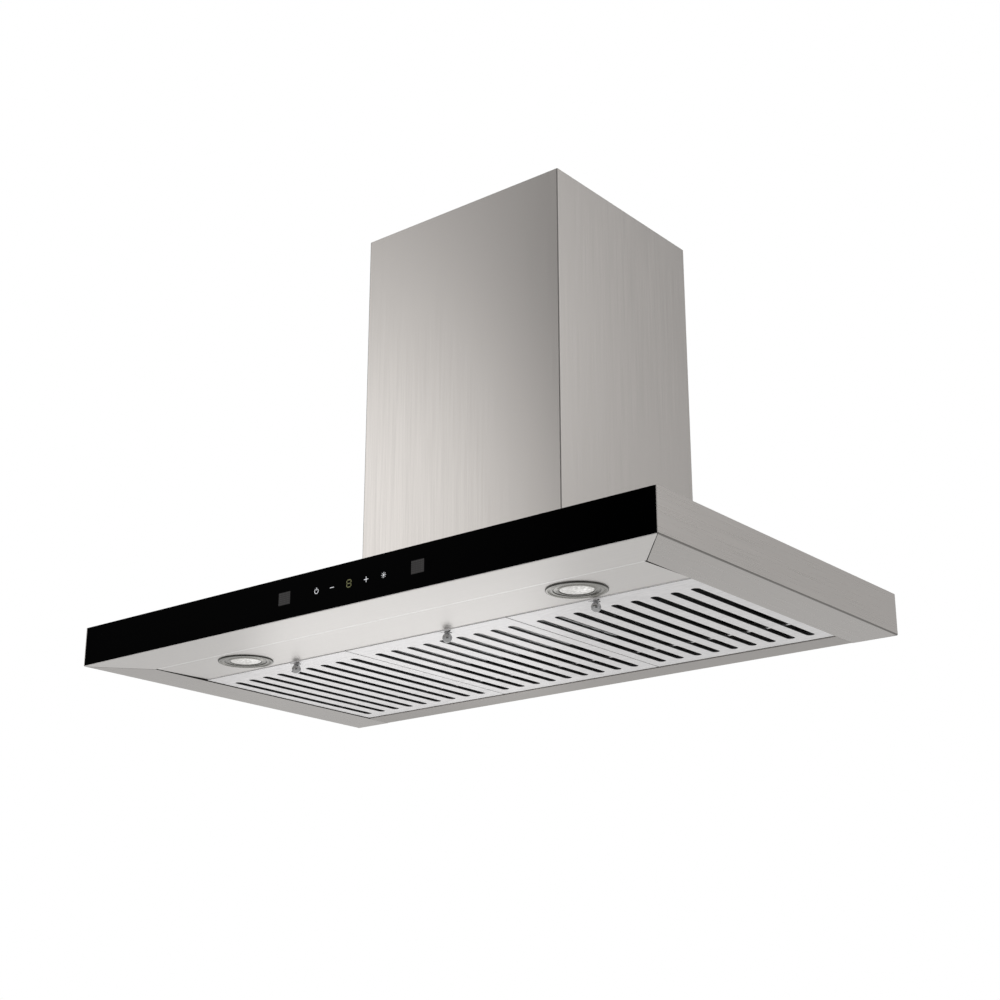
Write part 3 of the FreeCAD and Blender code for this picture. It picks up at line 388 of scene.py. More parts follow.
top_low, top_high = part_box("canopy_top_panel")
top_split = (top_low.z + top_high.z) / 2
zinc_sheet = zinc("zinc_sheet")
# The scroll's dark surface is painted shade.
inside_painted_shade = painted_shade_surface("scroll_painted_shade")
# Below its middle height the top sheet is painted dark: painted shade inside the hood.
top_steel = paint_shade_side(brushed("canopy_top_steel", 0, STEEL), top_split, False, INSIDE_SHADE, 0.0, 0.9)
FILTER_BRIGHT_EDGE = 0.0003      # only the face and the roll of its slot edges stay bright
tray_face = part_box("filter_tray_1")[0].z
# Above its face the tray is painted dark: painted shade that makes the slots read as black.
tray_steel = paint_shade_side(brushed("filter_tray_steel", 0, FILTER_TONE, **FILTER_LOOK),
                       tray_face + FILTER_BRIGHT_EDGE, True, (0.10, 0.10, 0.105), 1.0, 0.45)
pale_tray = zinc("pale_tray_sheet", (0.80, 0.80, 0.81))
print("top sheet splits at", round(top_split, 4))

# %% [markdown]
# ## Glass, plastics and small parts
#
# Moulded and cast parts share one helper, a fine speckle. Folds and sheared edges get a
# darker steel than the flat sheets, and the pressed line on the lamp panel a paler one.
# These are chosen too: they stand for the thin dark and bright lines that shadow and
# reflection draw there. The front glass is painted black on its back, so it has nearly no
# colour, and its gloss is kept low so that the room doesn't show in it.


# %% Glass, plastics and small parts
SPECKLE_DEPTH = 0.0001


def speckled(name, color, roughness, contrast=0.12, scale=900.0, metallic=0.0, specular=0.5,
             bump=0.15):
    """Moulded or cast surface: a fine speckle moves its colour, roughness and bump."""
    material, shader = new_material(name, color, metallic, roughness, specular)
    tree = material.node_tree
    grain = stretched_noise(tree, (scale, scale, scale), detail=3.0)
    tint = color_between(tree, grain, scaled(color, 1 - contrast), scaled(color, 1 + contrast))
    tree.links.new(tint, shader.inputs["Base Color"])
    rough = span(tree, grain, max(roughness - 0.06, 0.02), roughness + 0.06)
    tree.links.new(rough, shader.inputs["Roughness"])
    add_bump(tree, shader, grain, bump, SPECKLE_DEPTH)
    return material


def black_glass_material():
    """Back-painted glass: nearly no colour of its own, with a faint waviness in its gloss."""
    material, shader = new_material("black_glass", (0.0006, 0.0006, 0.0007), roughness=0.06,
                                    specular=0.006)
    tree = material.node_tree
    wave = stretched_noise(tree, (6.0, 6.0, 6.0), detail=1.0)
    tree.links.new(span(tree, wave, 0.05, 0.09), shader.inputs["Roughness"])
    tint = color_between(tree, wave, (0.0005, 0.0005, 0.0006), (0.0008, 0.0008, 0.0009))
    tree.links.new(tint, shader.inputs["Base Color"])
    return material


black_glass = black_glass_material()
tape = speckled("adhesive_tape", (0.05, 0.05, 0.05), 0.8)
black_plastic = speckled("black_plastic", (0.028, 0.028, 0.03), 0.5)
white_plastic = speckled("white_plastic", (0.82, 0.82, 0.80), 0.45, contrast=0.04)
board_green = speckled("circuit_board", (0.03, 0.16, 0.07), 0.35, scale=350.0)
board_parts = speckled("board_parts", (0.07, 0.07, 0.08), 0.45)
aluminium = speckled("aluminium", (0.60, 0.60, 0.61), 0.4, metallic=1.0, contrast=0.08)
spring_steel = speckled("spring_steel", (0.48, 0.48, 0.49), 0.3, metallic=1.0, contrast=0.06)
# The latch plates are painted dark: painted shade in the small openings beside each knob.
latch_painted_shade = speckled("latch_plate_painted_shade", (0.09, 0.09, 0.095), 0.4, metallic=1.0, contrast=0.1)
enamel = speckled("motor_enamel", (0.10, 0.10, 0.11), 0.4, metallic=0.3)
edge_painted_shade = speckled("cut_edge_painted_shade", scaled(STEEL, 0.10), 0.5, metallic=1.0, contrast=0.1)
pressed_line_highlight = speckled("pressed_line_painted_highlight", (0.96, 0.95, 0.93), 0.35, metallic=0.5,
                        contrast=0.03)
bend_painted_shade = speckled("folded_bend_painted_shade", scaled(STEEL, 0.42), 0.35, metallic=1.0, contrast=0.08)
chrome = speckled("chrome", (0.47, 0.47, 0.475), 0.04, metallic=1.0, contrast=0.03, bump=0.02)
FLOOR_TONE = (0.80, 0.80, 0.79)
FLOOR_GLOW = 0.25         # keeps the floor pale from every side
pale_floor = speckled("pale_floor", FLOOR_TONE, 0.7, scale=30.0, contrast=0.015, bump=0.02)
floor_shader = pale_floor.node_tree.nodes["Principled BSDF"]
floor_shader.inputs["Emission Color"].default_value = (*FLOOR_TONE, 1.0)
floor_shader.inputs["Emission Strength"].default_value = FLOOR_GLOW
floor.data.materials.append(pale_floor)
print("small finishes ready")

# %% [markdown]
# ## Lens, windows and marks
#
# A lens is lit from behind, so part of its light is emission, with small cells for the
# dimples. A bright spot a little to one side of its middle is a painted highlight. The
# sensor windows have a fine raster of two crossed waves. The marks glow faintly.


# %% Lamp lens, windows and lit marks
def lens_material(name, highlight_spot):
    """Lit frosted lens: small dimples, with a painted highlight a little off its middle."""
    material, shader = new_material(name, (0.62, 0.61, 0.59), roughness=0.2)
    tree = material.node_tree
    place = add_node(tree, "ShaderNodeTexCoord")
    cells = add_node(tree, "ShaderNodeTexVoronoi")
    cells.inputs["Scale"].default_value = 260.0
    tree.links.new(place.outputs["Object"], cells.inputs["Vector"])
    add_bump(tree, shader, cells.outputs["Distance"], 0.5, 0.0006)
    away = add_node(tree, "ShaderNodeVectorMath", operation="DISTANCE")
    tree.links.new(place.outputs["Object"], away.inputs[0])
    away.inputs[1].default_value = highlight_spot
    spread = math_node(tree, "MULTIPLY", away.outputs["Value"], 26.0)
    dimples = math_node(tree, "MULTIPLY", cells.outputs["Distance"], 1.1)
    glow = color_between(tree, math_node(tree, "ADD", spread, dimples), (0.98, 0.97, 0.95),
                         (0.26, 0.25, 0.235), low=0.2, high=1.0)
    tree.links.new(glow, shader.inputs["Emission Color"])
    shader.inputs["Emission Strength"].default_value = 0.6
    return material


def window_material():
    """Small sensor window: a fine crossed raster under a dark grey face."""
    material, shader = new_material("window_grey", (0.045, 0.043, 0.043), roughness=0.35,
                                    specular=0.2)
    tree = material.node_tree
    place = add_node(tree, "ShaderNodeTexCoord")
    rasters = []
    for band in ("X", "Z"):
        wave = add_node(tree, "ShaderNodeTexWave", wave_type="BANDS", bands_direction=band)
        wave.inputs["Scale"].default_value = 130.0
        tree.links.new(place.outputs["Object"], wave.inputs["Vector"])
        rasters.append(wave.outputs["Fac"])
    crossed = math_node(tree, "MULTIPLY", rasters[0], rasters[1])
    tint = color_between(tree, crossed, (0.048, 0.045, 0.045), (0.092, 0.088, 0.088), 0.1, 0.8)
    tree.links.new(tint, shader.inputs["Base Color"])
    return material


def lit_mark(name, color, strength):
    """Mark printed behind the glass and lit from behind."""
    material, shader = new_material(name, color, roughness=0.5, specular=0.1)
    tree = material.node_tree
    grain = stretched_noise(tree, (700.0, 700.0, 700.0), detail=1.0)
    glow = color_between(tree, grain, scaled(color, 0.9), color)
    tree.links.new(glow, shader.inputs["Base Color"])
    tree.links.new(glow, shader.inputs["Emission Color"])
    shader.inputs["Emission Strength"].default_value = strength
    return material


window_grey = window_material()
white_mark = lit_mark("touch_mark_white", (0.86, 0.87, 0.90), 0.52)
olive_mark = lit_mark("display_mark_olive", (0.16, 0.16, 0.08), 0.5)
print("window and mark finishes ready")

# %% [markdown]
# ## Finishes on the carried-over parts
#
# The parts that keep their engineering shape only need their finish. Most of them are
# inside the chimney and the plenum: sheet parts are zinc-coated, the fan wheel too, the
# motor is enamelled and its small fittings are moulded.

# %% Give the carried-over parts their finish
FINISHES = (
    (zinc_sheet, ("front_rail", "corner_brackets", "blower_box", "inlet_ring", "impeller",
                  "motor_plate", "chimney_wall_bracket", "hanging_plate", "damper_pins",
                  "motor_shaft", "blower_screws")),
    (inside_painted_shade, ("scroll_wrap", "scroll_inlet_plate", "scroll_motor_plate")),
    (pale_tray, ("electronics_tray",)),
    (top_steel, ("canopy_top_panel",)),
    (steel_z, ("chimney_upper_cover",)),
    (filter_steel, ("filter_rods_1", "filter_rods_2", "filter_rods_3")),
    (spring_steel, ("latch_spring_1", "latch_spring_2", "latch_spring_3", "lamp_clips")),
    (latch_painted_shade, ("filter_latch_1", "filter_latch_2", "filter_latch_3")),
    (aluminium, ("lamp_body_left", "lamp_body_right")),
    (black_plastic, ("control_housing", "mains_gland", "duct_collar", "damper_flap_front",
                     "damper_flap_rear", "touch_pads", "display_module")),
    (enamel, ("motor",)),
    (white_plastic, ("motor_capacitor",)),
    (board_green, ("control_board", "main_board", "lamp_boards")),
    (board_parts, ("main_board_parts",)),
    (tape, ("glass_tape",)),
    (window_grey, ("sensor_windows",)),
)
for finish, names in FINISHES:
    for name in names:
        cad[name].data.materials.clear()
        cad[name].data.materials.append(finish)
print(sum(len(names) for _, names in FINISHES), "parts have their finish")

# %% [markdown]
# ## Folded sheets
#
# A folded cover starts as a chain of edges, its section, which is pulled along the length.
# Rounding the shared edges gives the bends their radius, and only then the sheet gets its
# thickness, inwards, so that the outside keeps its size. Large flat faces beside small
# bends need normals weighted by area, or the shade would run across the whole face.

# %% Sheet helpers
SHEET = 0.001
BEND_RADIUS = 0.0016
SMALL_BEND = 0.0011


def chain(bm, points):
    """A chain of edges through a few points."""
    corners = [bm.verts.new(point) for point in points]
    return [bm.edges.new(pair) for pair in zip(corners, corners[1:])]


def pull(bm, edges, reach):
    """Extrudes edges along a vector and gives the far edges and corners."""
    made = bmesh.ops.extrude_edge_only(bm, edges=edges)["geom"]
    corners = [item for item in made if isinstance(item, bmesh.types.BMVert)]
    bmesh.ops.translate(bm, verts=corners, vec=reach)
    far = set(corners)
    return [edge for edge in bm.edges if edge.verts[0] in far and edge.verts[1] in far], corners


def bends(bm, least=25.0):
    """Edges where two faces meet at more than an angle in degrees."""
    return [edge for edge in bm.edges if len(edge.link_faces) == 2
            and edge.calc_face_angle(0.0) > math.radians(least)]


def round_edges(bm, edges, radius, segments=4):
    """Rounds edges to a radius."""
    bmesh.ops.bevel(bm, geom=edges, offset=radius, offset_type="OFFSET", affect="EDGES",
                    segments=segments, profile=0.5, material=-1, clamp_overlap=True)


def turn_outward(bm, inside):
    """Makes the faces of an open sheet look away from a point inside it."""
    bmesh.ops.recalc_face_normals(bm, faces=bm.faces)
    facing = sum((face.calc_center_median() - Vector(inside)).dot(face.normal) * face.calc_area()
                 for face in bm.faces)
    if facing < 0:
        bmesh.ops.reverse_faces(bm, faces=bm.faces)


def thicken(bm, thickness=SHEET):
    """Gives an open sheet its wall, on the inner side."""
    bmesh.ops.solidify(bm, geom=bm.faces[:], thickness=thickness)


SHARP_ANGLE = math.radians(35)
ALONG_AXIS = 0.985        # a normal this far along an axis looks along it


def finish_piece(bm, name, material, body, slot, *nodes, others=()):
    """Turns a bmesh into a piece that rides on a body and stands for engineering nodes.

    Each of the other finishes comes with a test that picks its faces.
    """
    mesh = bpy.data.meshes.new(name)
    bm.to_mesh(mesh)
    bm.free()
    for polygon in mesh.polygons:
        polygon.use_smooth = True
    mesh.set_sharp_from_angle(angle=SHARP_ANGLE)
    mesh.materials.append(material)
    for index, (other, wanted) in enumerate(others, start=1):
        mesh.materials.append(other)
        for polygon in mesh.polygons:
            if wanted(polygon):
                polygon.material_index = index
    piece = bpy.data.objects.new(name, mesh)
    scene.collection.objects.link(piece)
    normals = piece.modifiers.new("area_normals", "WEIGHTED_NORMAL")
    normals.keep_sharp = True
    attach(piece, body)
    if nodes:
        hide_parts(*nodes)
    print(name, len(mesh.polygons), "faces")
    return piece


def is_bend(polygon):
    """A face of a rounded fold: it looks along none of the three axes."""
    return max(abs(part) for part in polygon.normal) < ALONG_AXIS


def is_front_half_bend(polygon):
    """The half of an upright fold that looks more to the front than to the side."""
    return is_bend(polygon) and abs(polygon.normal.y) > abs(polygon.normal.x)


def is_level(polygon):
    """A face that looks up or down."""
    return abs(polygon.normal.z) >= ALONG_AXIS


def is_upright(polygon):
    """A face that looks sideways, such as the cut edge of a level sheet."""
    return abs(polygon.normal.z) < 0.3


print("sheet helpers ready")

# %% [markdown]
# ## Chimney cover
#
# The cover is one sheet folded into a U with two narrow returns at the wall. Its section
# is pulled up to the full height. The half of each fold that looks to the front is painted
# darker: painted shade that draws the corner as a line.

# %% Chimney cover
CHIMNEY_RETURN = 0.016
low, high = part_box("chimney_lower_cover")
bm = bmesh.new()
section = chain(bm, [(low.x + CHIMNEY_RETURN, high.y, low.z), (low.x, high.y, low.z),
                     (low.x, low.y, low.z), (high.x, low.y, low.z),
                     (high.x, high.y, low.z), (high.x - CHIMNEY_RETURN, high.y, low.z)])
pull(bm, section, (0, 0, high.z - low.z))
round_edges(bm, bends(bm), BEND_RADIUS)
turn_outward(bm, (low + high) / 2)
thicken(bm)
# The darker half of each fold is painted shade.
finish_piece(bm, "chimney_cover", steel_z, "root", "brushed_steel", "chimney_lower_cover",
             others=[(bend_painted_shade, is_front_half_bend)])

# %% [markdown]
# ## Canopy sides
#
# Each canopy side is a wall and an underside flange folded from one sheet. The flange is
# cut at a slant at its front end, where it meets the front flange in a mitre. A bisect
# plane makes that cut while the sheet is still a thin surface.

# %% Canopy sides
FOLD_SETBACK = 0.070
SEAM = 0.0003
side_low, side_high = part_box("canopy_right_side")
half_width = side_high.x
opening_half = side_low.x
front = side_low.y
fold_y = front + FOLD_SETBACK
height = side_high.z


def is_inner_edge(polygon):
    """The cut edge of a flange, beside the opening."""
    return is_upright(polygon) and abs(polygon.center.x) < opening_half + 0.0002


for side, word in ((1, "right"), (-1, "left")):
    bm = bmesh.new()
    section = chain(bm, [(side * opening_half, front, 0), (side * half_width, front, 0),
                         (side * half_width, front, height)])
    pull(bm, section, (0, -front, 0))
    slant = Vector((side * (opening_half - half_width), fold_y + SEAM - front, 0))
    outward = Vector((-side * slant.y, side * slant.x, 0))
    bmesh.ops.bisect_plane(bm, geom=bm.verts[:] + bm.edges[:] + bm.faces[:],
                           plane_co=(side * half_width, front, 0), plane_no=outward,
                           clear_outer=True, dist=1e-6)
    round_edges(bm, bends(bm), BEND_RADIUS)
    turn_outward(bm, (0, front / 2, height / 2))
    thicken(bm)
    # The flange's darker steel, the folds and the flange's cut edge are painted shade.
    finish_piece(bm, "canopy_side_" + word, steel_y, "root", "brushed_steel",
                 "canopy_" + word + "_side",
                 others=[(steel_flange_painted_shade, is_level), (bend_painted_shade, is_bend),
                         (edge_painted_shade, is_inner_edge)])

# %% [markdown]
# ## Rear panel
#
# The rear panel is folded in the same way, with its flange between the two sides.

# %% Rear panel
rear_low, rear_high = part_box("canopy_rear_panel")
wall_half = half_width - SHEET
flange_half = opening_half - SEAM
bm = bmesh.new()
foot = chain(bm, [(x, 0, 0) for x in (-wall_half, -flange_half, flange_half, wall_half)])
pull(bm, foot, (0, 0, rear_high.z))
pull(bm, [foot[1]], (0, rear_low.y, 0))
round_edges(bm, bends(bm), BEND_RADIUS)
turn_outward(bm, (0, front / 2, height / 2))
thicken(bm)
# The rear panel's darker steel is painted shade.
finish_piece(bm, "canopy_rear", steel_rear_painted_shade, "root", "brushed_steel", "canopy_rear_panel")

# %% [markdown]
# ## Lamp panel
#
# The front flange and the lamp panel are one sheet. A shallow pressed line marks the fold
# between them, painted paler than the sheet: a painted highlight. Behind the fold the panel
# rises a little towards the filters and ends in a lip that turns up. The two lamp holes are
# loops of edges inside the panel's outline, and one fill makes the face round them.

# %% Lamp panel
PRESS_DEPTH = 0.00035
PRESS_HALF = 0.0013
PANEL_RISE = 0.002
PANEL_GAP = 0.0030        # open seam beside each side flange
LIP = 0.011
LAMP_HOLE = 0.0305
SEAM_TRIM = 0.0006        # the lip leans a little over the gap in front of the filters
panel_low, panel_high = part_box("lamp_panel")
panel_end = panel_high.y + SEAM_TRIM
panel_half = opening_half - PANEL_GAP
panel_slope = PANEL_RISE / (panel_end - fold_y)
lamp_tilt = math.atan(panel_slope)


def panel_height(y):
    """Height of the lamp panel's underside at a place along Y."""
    return (y - fold_y) * panel_slope


def lamp_seat(side_word):
    """Where a lamp sits: on the slope of the panel, tilted with it."""
    ring_low, ring_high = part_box("lamp_bezel_" + side_word)
    middle = (ring_low + ring_high) / 2
    place = Vector((middle.x, middle.y, panel_height(middle.y)))
    return Matrix.Translation(place) @ Matrix.Rotation(lamp_tilt, 4, "X")


bm = bmesh.new()
fold_line = chain(bm, [(x, fold_y - PRESS_HALF, 0)
                       for x in (-opening_half, -panel_half, panel_half, opening_half)])
_, front_corners = pull(bm, fold_line, (0, front - fold_y + PRESS_HALF, 0))
for corner in front_corners:
    if abs(corner.co.x) > panel_half + PANEL_GAP / 2:
        corner.co.x = math.copysign(half_width - SHEET, corner.co.x)
ridge, _ = pull(bm, [fold_line[1]], (0, PRESS_HALF, PRESS_DEPTH))
valley, _ = pull(bm, ridge, (0, PRESS_HALF, -PRESS_DEPTH + PRESS_HALF * panel_slope))
run = panel_end - fold_y - PRESS_HALF
rim, _ = pull(bm, valley, (0, run, run * panel_slope))
pull(bm, rim, (0, 0, LIP))
round_edges(bm, [edge for edge in rim if edge.is_valid], SMALL_BEND)
behind_fold = [face for face in bm.faces if face.calc_center_median().y > fold_y]
panel_face = max(behind_fold, key=lambda face: face.calc_area())
outline = list(panel_face.edges)
bmesh.ops.delete(bm, geom=[panel_face], context="FACES_ONLY")
for word in ("left", "right"):
    loop = bmesh.ops.create_circle(bm, segments=64, radius=LAMP_HOLE, matrix=lamp_seat(word))
    outline += list({edge for corner in loop["verts"] for edge in corner.link_edges})
bmesh.ops.triangle_fill(bm, use_beauty=True, use_dissolve=False, edges=outline)
bmesh.ops.remove_doubles(bm, verts=bm.verts, dist=1e-6)
turn_outward(bm, (0, front / 2, height / 2))
thicken(bm)


def is_pressed(polygon):
    """The two narrow faces of the pressed line."""
    return abs(polygon.center.y - fold_y) < PRESS_HALF and not is_upright(polygon)


def is_side_edge(polygon):
    """The panel's cut edges at the left and right."""
    return is_upright(polygon) and abs(polygon.normal.x) > 0.5


# The panel's lighter steel is painted light, the pressed line a painted highlight and the side cut
# edges painted shade.
finish_piece(bm, "lamp_panel_sheet", steel_x_painted_light, "root", "brushed_steel", "lamp_panel",
             others=[(pressed_line_highlight, is_pressed), (edge_painted_shade, is_side_edge)])

# %% [markdown]
# ## Black glass front
#
# The glass is one strip bonded to the channel behind it. Its edges are ground to a small
# chamfer, so they aren't knife-sharp.

# %% Glass strip
glass_low, glass_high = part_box("control_glass")
glass_size = glass_high - glass_low
bm = bmesh.new()
bmesh.ops.create_cube(bm, size=1.0, matrix=Matrix.Translation((glass_low + glass_high) / 2)
                      @ Matrix.Diagonal((*glass_size, 1.0)))
GLASS_CHAMFER = 0.00045
round_edges(bm, bm.edges[:], GLASS_CHAMFER, segments=2)
finish_piece(bm, "glass_front", black_glass, "root", "black_glass", "control_glass")

# %% [markdown]
# ## Touch marks
#
# The touch marks sit just in front of the glass as very thin inlays, so that they are
# real shapes. Each is built from flat bars and arcs: a power mark, a minus, a figure
# eight as the display shows at rest, a plus and a lamp mark with rays.

# %% Touch marks
STROKE = 0.00072
MARK_PROUD = 0.00006
MARK_SINK = 0.0003
display_low, display_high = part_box("display_module")
display_middle = (display_low + display_high) / 2
mark_middle = Vector((display_middle.x, front, display_middle.z))


def bar(bm, x, z, width, tall, turn=0.0, about=(0.0, 0.0)):
    """A flat bar on the glass, from the marks' own centre, turned about a point."""
    placed = (Matrix.Translation((about[0], 0, about[1])) @ Matrix.Rotation(turn, 4, "Y")
              @ Matrix.Translation((x - about[0], 0, z - about[1])))
    size = Matrix.Diagonal((width, MARK_SINK, tall, 1.0))
    bmesh.ops.create_cube(bm, size=1.0, matrix=placed @ size)


def arc_mark(bm, radius, gap_degrees):
    """A ring with a gap at the top, spun from one small section."""
    start = math.radians(90 + gap_degrees / 2)
    inner = radius - STROKE / 2
    outer = radius + STROKE / 2
    direction_in = Vector((math.cos(start), 0, math.sin(start)))
    corners = [bm.verts.new(direction_in * inner - Vector((0, MARK_SINK / 2, 0))),
               bm.verts.new(direction_in * outer - Vector((0, MARK_SINK / 2, 0))),
               bm.verts.new(direction_in * outer + Vector((0, MARK_SINK / 2, 0))),
               bm.verts.new(direction_in * inner + Vector((0, MARK_SINK / 2, 0)))]
    section = bm.faces.new(corners)
    sweep = math.radians(360 - gap_degrees)
    bmesh.ops.spin(bm, geom=[section] + list(section.edges) + corners, cent=(0, 0, 0),
                   axis=(0, -1, 0), angle=sweep, steps=28, use_merge=False)


def place_mark(bm, name, x, material, slot):
    """Puts a mark on the glass at its place along X."""
    depth = MARK_SINK / 2 - MARK_PROUD
    bmesh.ops.translate(bm, verts=bm.verts, vec=(x, mark_middle.y + depth, mark_middle.z))
    bmesh.ops.recalc_face_normals(bm, faces=bm.faces)
    finish_piece(bm, name, material, "root", slot)


MARK_PITCH = 0.027
bm = bmesh.new()
arc_mark(bm, 0.0029, 60)
bar(bm, 0, 0.0027, STROKE, 0.0034)
place_mark(bm, "mark_power", mark_middle.x - 0.052, white_mark, "white_plastic")

bm = bmesh.new()
bar(bm, 0, 0, 0.0062, STROKE)
place_mark(bm, "mark_minus", mark_middle.x - MARK_PITCH, white_mark, "white_plastic")

bm = bmesh.new()
bar(bm, 0, 0, 0.0066, STROKE)
bar(bm, 0, 0, STROKE, 0.0066)
place_mark(bm, "mark_plus", mark_middle.x + MARK_PITCH, white_mark, "white_plastic")

bm = bmesh.new()
bmesh.ops.create_cube(bm, size=1.0, matrix=Matrix.Rotation(math.radians(45), 4, "Y")
                      @ Matrix.Diagonal((0.0019, MARK_SINK, 0.0019, 1.0)))
for ray_index in range(8):
    bar(bm, 0, 0.0026, STROKE * 0.6, 0.0020, turn=math.radians(45 * ray_index))
place_mark(bm, "mark_light", mark_middle.x + 2 * MARK_PITCH, white_mark, "white_plastic")

DIGIT_HALF = 0.0033       # half the figure's width
DIGIT_CELL = 0.0021       # half the height of each of its two windows
DIGIT_STROKE = 0.00115
bm = bmesh.new()
for level_index in (-1, 0, 1):
    bar(bm, 0, level_index * 2 * DIGIT_CELL, 0.0052, DIGIT_STROKE)
for level_index in (-1, 1):
    for side in (-1, 1):
        bar(bm, side * DIGIT_HALF, level_index * DIGIT_CELL, DIGIT_STROKE, 0.0030)
place_mark(bm, "display_figure", mark_middle.x, olive_mark, "display_face")

# %% [markdown]
# ## Lamps
#
# A lamp ring is a turned part, so it is spun from half of its section: a flat outer rim, a
# step, a shallow dish and the lip that holds the lens. Its outer edge, its groove and the
# lip are painted dark: painted shade. The lens is a low dome. Both are made about the
# origin and then put on the slope of the panel.


# %% Turned parts
def turned(points, steps=72, place=Matrix.Identity(4)):
    """A closed round part from an outline of radius and height, put in its place."""
    bm = bmesh.new()
    outline_edges = chain(bm, [(radius, 0, level) for radius, level in points])
    bmesh.ops.spin(bm, geom=bm.verts[:] + outline_edges, cent=(0, 0, 0), axis=(0, 0, 1),
                   angle=math.tau, steps=steps, use_merge=True)
    bmesh.ops.remove_doubles(bm, verts=bm.verts, dist=1e-6)
    bmesh.ops.transform(bm, matrix=place, verts=bm.verts)
    bmesh.ops.recalc_face_normals(bm, faces=bm.faces)
    return bm


RING_EDGE = 0.0355
LENS_EDGE = 0.0195
RING_DROP = 0.0018
RING_SECTION = [(0.0199, 0.0002), (0.0199, -0.0010), (0.0205, -0.0014), (0.0222, -0.0014),
                (0.0232, -0.0006), (0.0250, -0.0004), (0.0262, -0.0004), (0.0272, -0.0012),
                (0.0300, -0.0012), (0.0308, -0.0006), (0.0318, -0.0006), (0.0326, -RING_DROP),
                (0.0346, -RING_DROP), (0.0352, -0.0015), (RING_EDGE, -0.0009),
                (RING_EDGE, -0.0001), (0.0300, -0.0001), (0.0300, 0.0040), (0.0285, 0.0040),
                (0.0285, 0.0012), (0.0214, 0.0012), (0.0214, 0.0002), (0.0199, 0.0002)]
ring_steel = speckled("lamp_ring_metal", (0.32, 0.312, 0.29), 0.28, metallic=1.0, contrast=0.08,
                      scale=500.0, bump=0.05)
ring_painted_shade = speckled("lamp_ring_painted_shade", (0.09, 0.088, 0.082), 0.35, metallic=1.0, contrast=0.08,
                      scale=500.0, bump=0.05)
PAINTED_HIGHLIGHT = Vector((0.009, 0.002, -0.0016))
DARK_RIM = 0.0336         # radii between which the ring is dark
DARK_GROOVE = (0.0262, 0.0272)
DARK_LIP = 0.0212
for word in ("left", "right"):
    seat = lamp_seat(word)
    centre = seat.translation.copy()

    def is_shaded(polygon):
        """The ring's outer edge, its groove and the lip round the lens: painted shade."""
        reach = (polygon.center - centre).to_2d().length
        return reach > DARK_RIM or DARK_GROOVE[0] < reach < DARK_GROOVE[1] or reach < DARK_LIP

    finish_piece(turned(RING_SECTION, place=seat), "lamp_ring_" + word, ring_steel, "root",
                 "chrome", "lamp_bezel_" + word, others=[(ring_painted_shade, is_shaded)])
    dome = [(0.0, -0.0016)]
    dome += [(LENS_EDGE * math.sin(math.radians(a)), -0.0006 - 0.0010 * math.cos(math.radians(a)))
             for a in range(15, 91, 15)]
    dome += [(LENS_EDGE, 0.0011), (0.0, 0.0011)]
    lamp_lens = lens_material("lamp_lens_" + word, seat @ PAINTED_HIGHLIGHT)
    finish_piece(turned(dome, place=seat), "lamp_glass_" + word, lamp_lens, "root", "lamp_lens",
                 "lamp_lens_" + word)

# %% [markdown]
# ## Grease filters
#
# Each filter is a pressed tray. Its face has nine long slots with an edge turned inwards,
# a narrow slot for the knob's stem and two small openings either side of it where the
# latch's ears show. A slot's loop is a circle whose halves are drawn apart, and each ring
# of its rolled edge is the same loop grown about the two end centres. The face is then
# filled once between the tray's outline and all the loops.

# %% Filter tray parts
FILTER_SHEET = 0.0008
RIM_HEIGHT = 0.009
TAB_LENGTH = 0.009
SLOT_COUNT = 9
SLOT_PITCH = 0.027
SLOT_RADIUS = 0.0055
SLOT_FRONT_LAND = 0.034
SLOT_REAR_LAND = 0.020
LIP_RISE = 0.0026
LIP_RINGS = ((1.0, 0.0006), (1.02, 0.0002), (1.06, 0.0))   # growth of the loop and its height
EAR_LENGTH = 0.0054
EAR_WIDTH = 0.0024
EAR_SPACING = 0.0112
EAR_SETBACK = 0.0044
EAR_TURN = math.radians(60)


def stadium(bm, x, low_y, high_y, radius, level, segments=16):
    """A long round-ended loop: gives its edges and its two ends as (corners, centre)."""
    turn_half = Matrix.Rotation(math.pi / segments, 4, "Z")
    made = bmesh.ops.create_circle(bm, segments=segments, radius=radius, matrix=turn_half)["verts"]
    edges = list({edge for corner in made for edge in corner.link_edges})
    ends = []
    for corners, centre_y in (([v for v in made if v.co.y < 0], low_y + radius),
                              ([v for v in made if v.co.y > 0], high_y - radius)):
        centre = Vector((x, centre_y, level))
        bmesh.ops.translate(bm, verts=corners, vec=centre)
        ends.append((corners, centre))
    return edges, ends


def grow(bm, edges, ends, factor, level):
    """Adds a ring outside a stadium loop, at another height."""
    made = bmesh.ops.extrude_edge_only(bm, edges=edges)["geom"]
    corners = [item for item in made if isinstance(item, bmesh.types.BMVert)]
    middle_y = (ends[0][1].y + ends[1][1].y) / 2
    new_ends = []
    for wanted, (_, centre) in zip((False, True), ends):
        group = [v for v in corners if (v.co.y > middle_y) == wanted]
        bmesh.ops.scale(bm, vec=(factor, factor, 1.0), space=Matrix.Translation(-centre),
                        verts=group)
        moved = Vector((centre.x, centre.y, level))
        bmesh.ops.translate(bm, verts=group, vec=(0, 0, level - centre.z))
        new_ends.append((group, moved))
    chosen = set(corners)
    return [e for e in bm.edges if e.verts[0] in chosen and e.verts[1] in chosen], new_ends


def block(bm, low, high):
    """A small block between two corners with eased edges."""
    low, high = Vector(low), Vector(high)
    made = bmesh.ops.create_cube(bm, size=1.0, matrix=Matrix.Translation((low + high) / 2)
                                 @ Matrix.Diagonal((*(high - low), 1.0)))["verts"]
    edges = list({edge for corner in made for edge in corner.link_edges})
    round_edges(bm, edges, 0.0002, segments=1)


print("filter helpers ready")

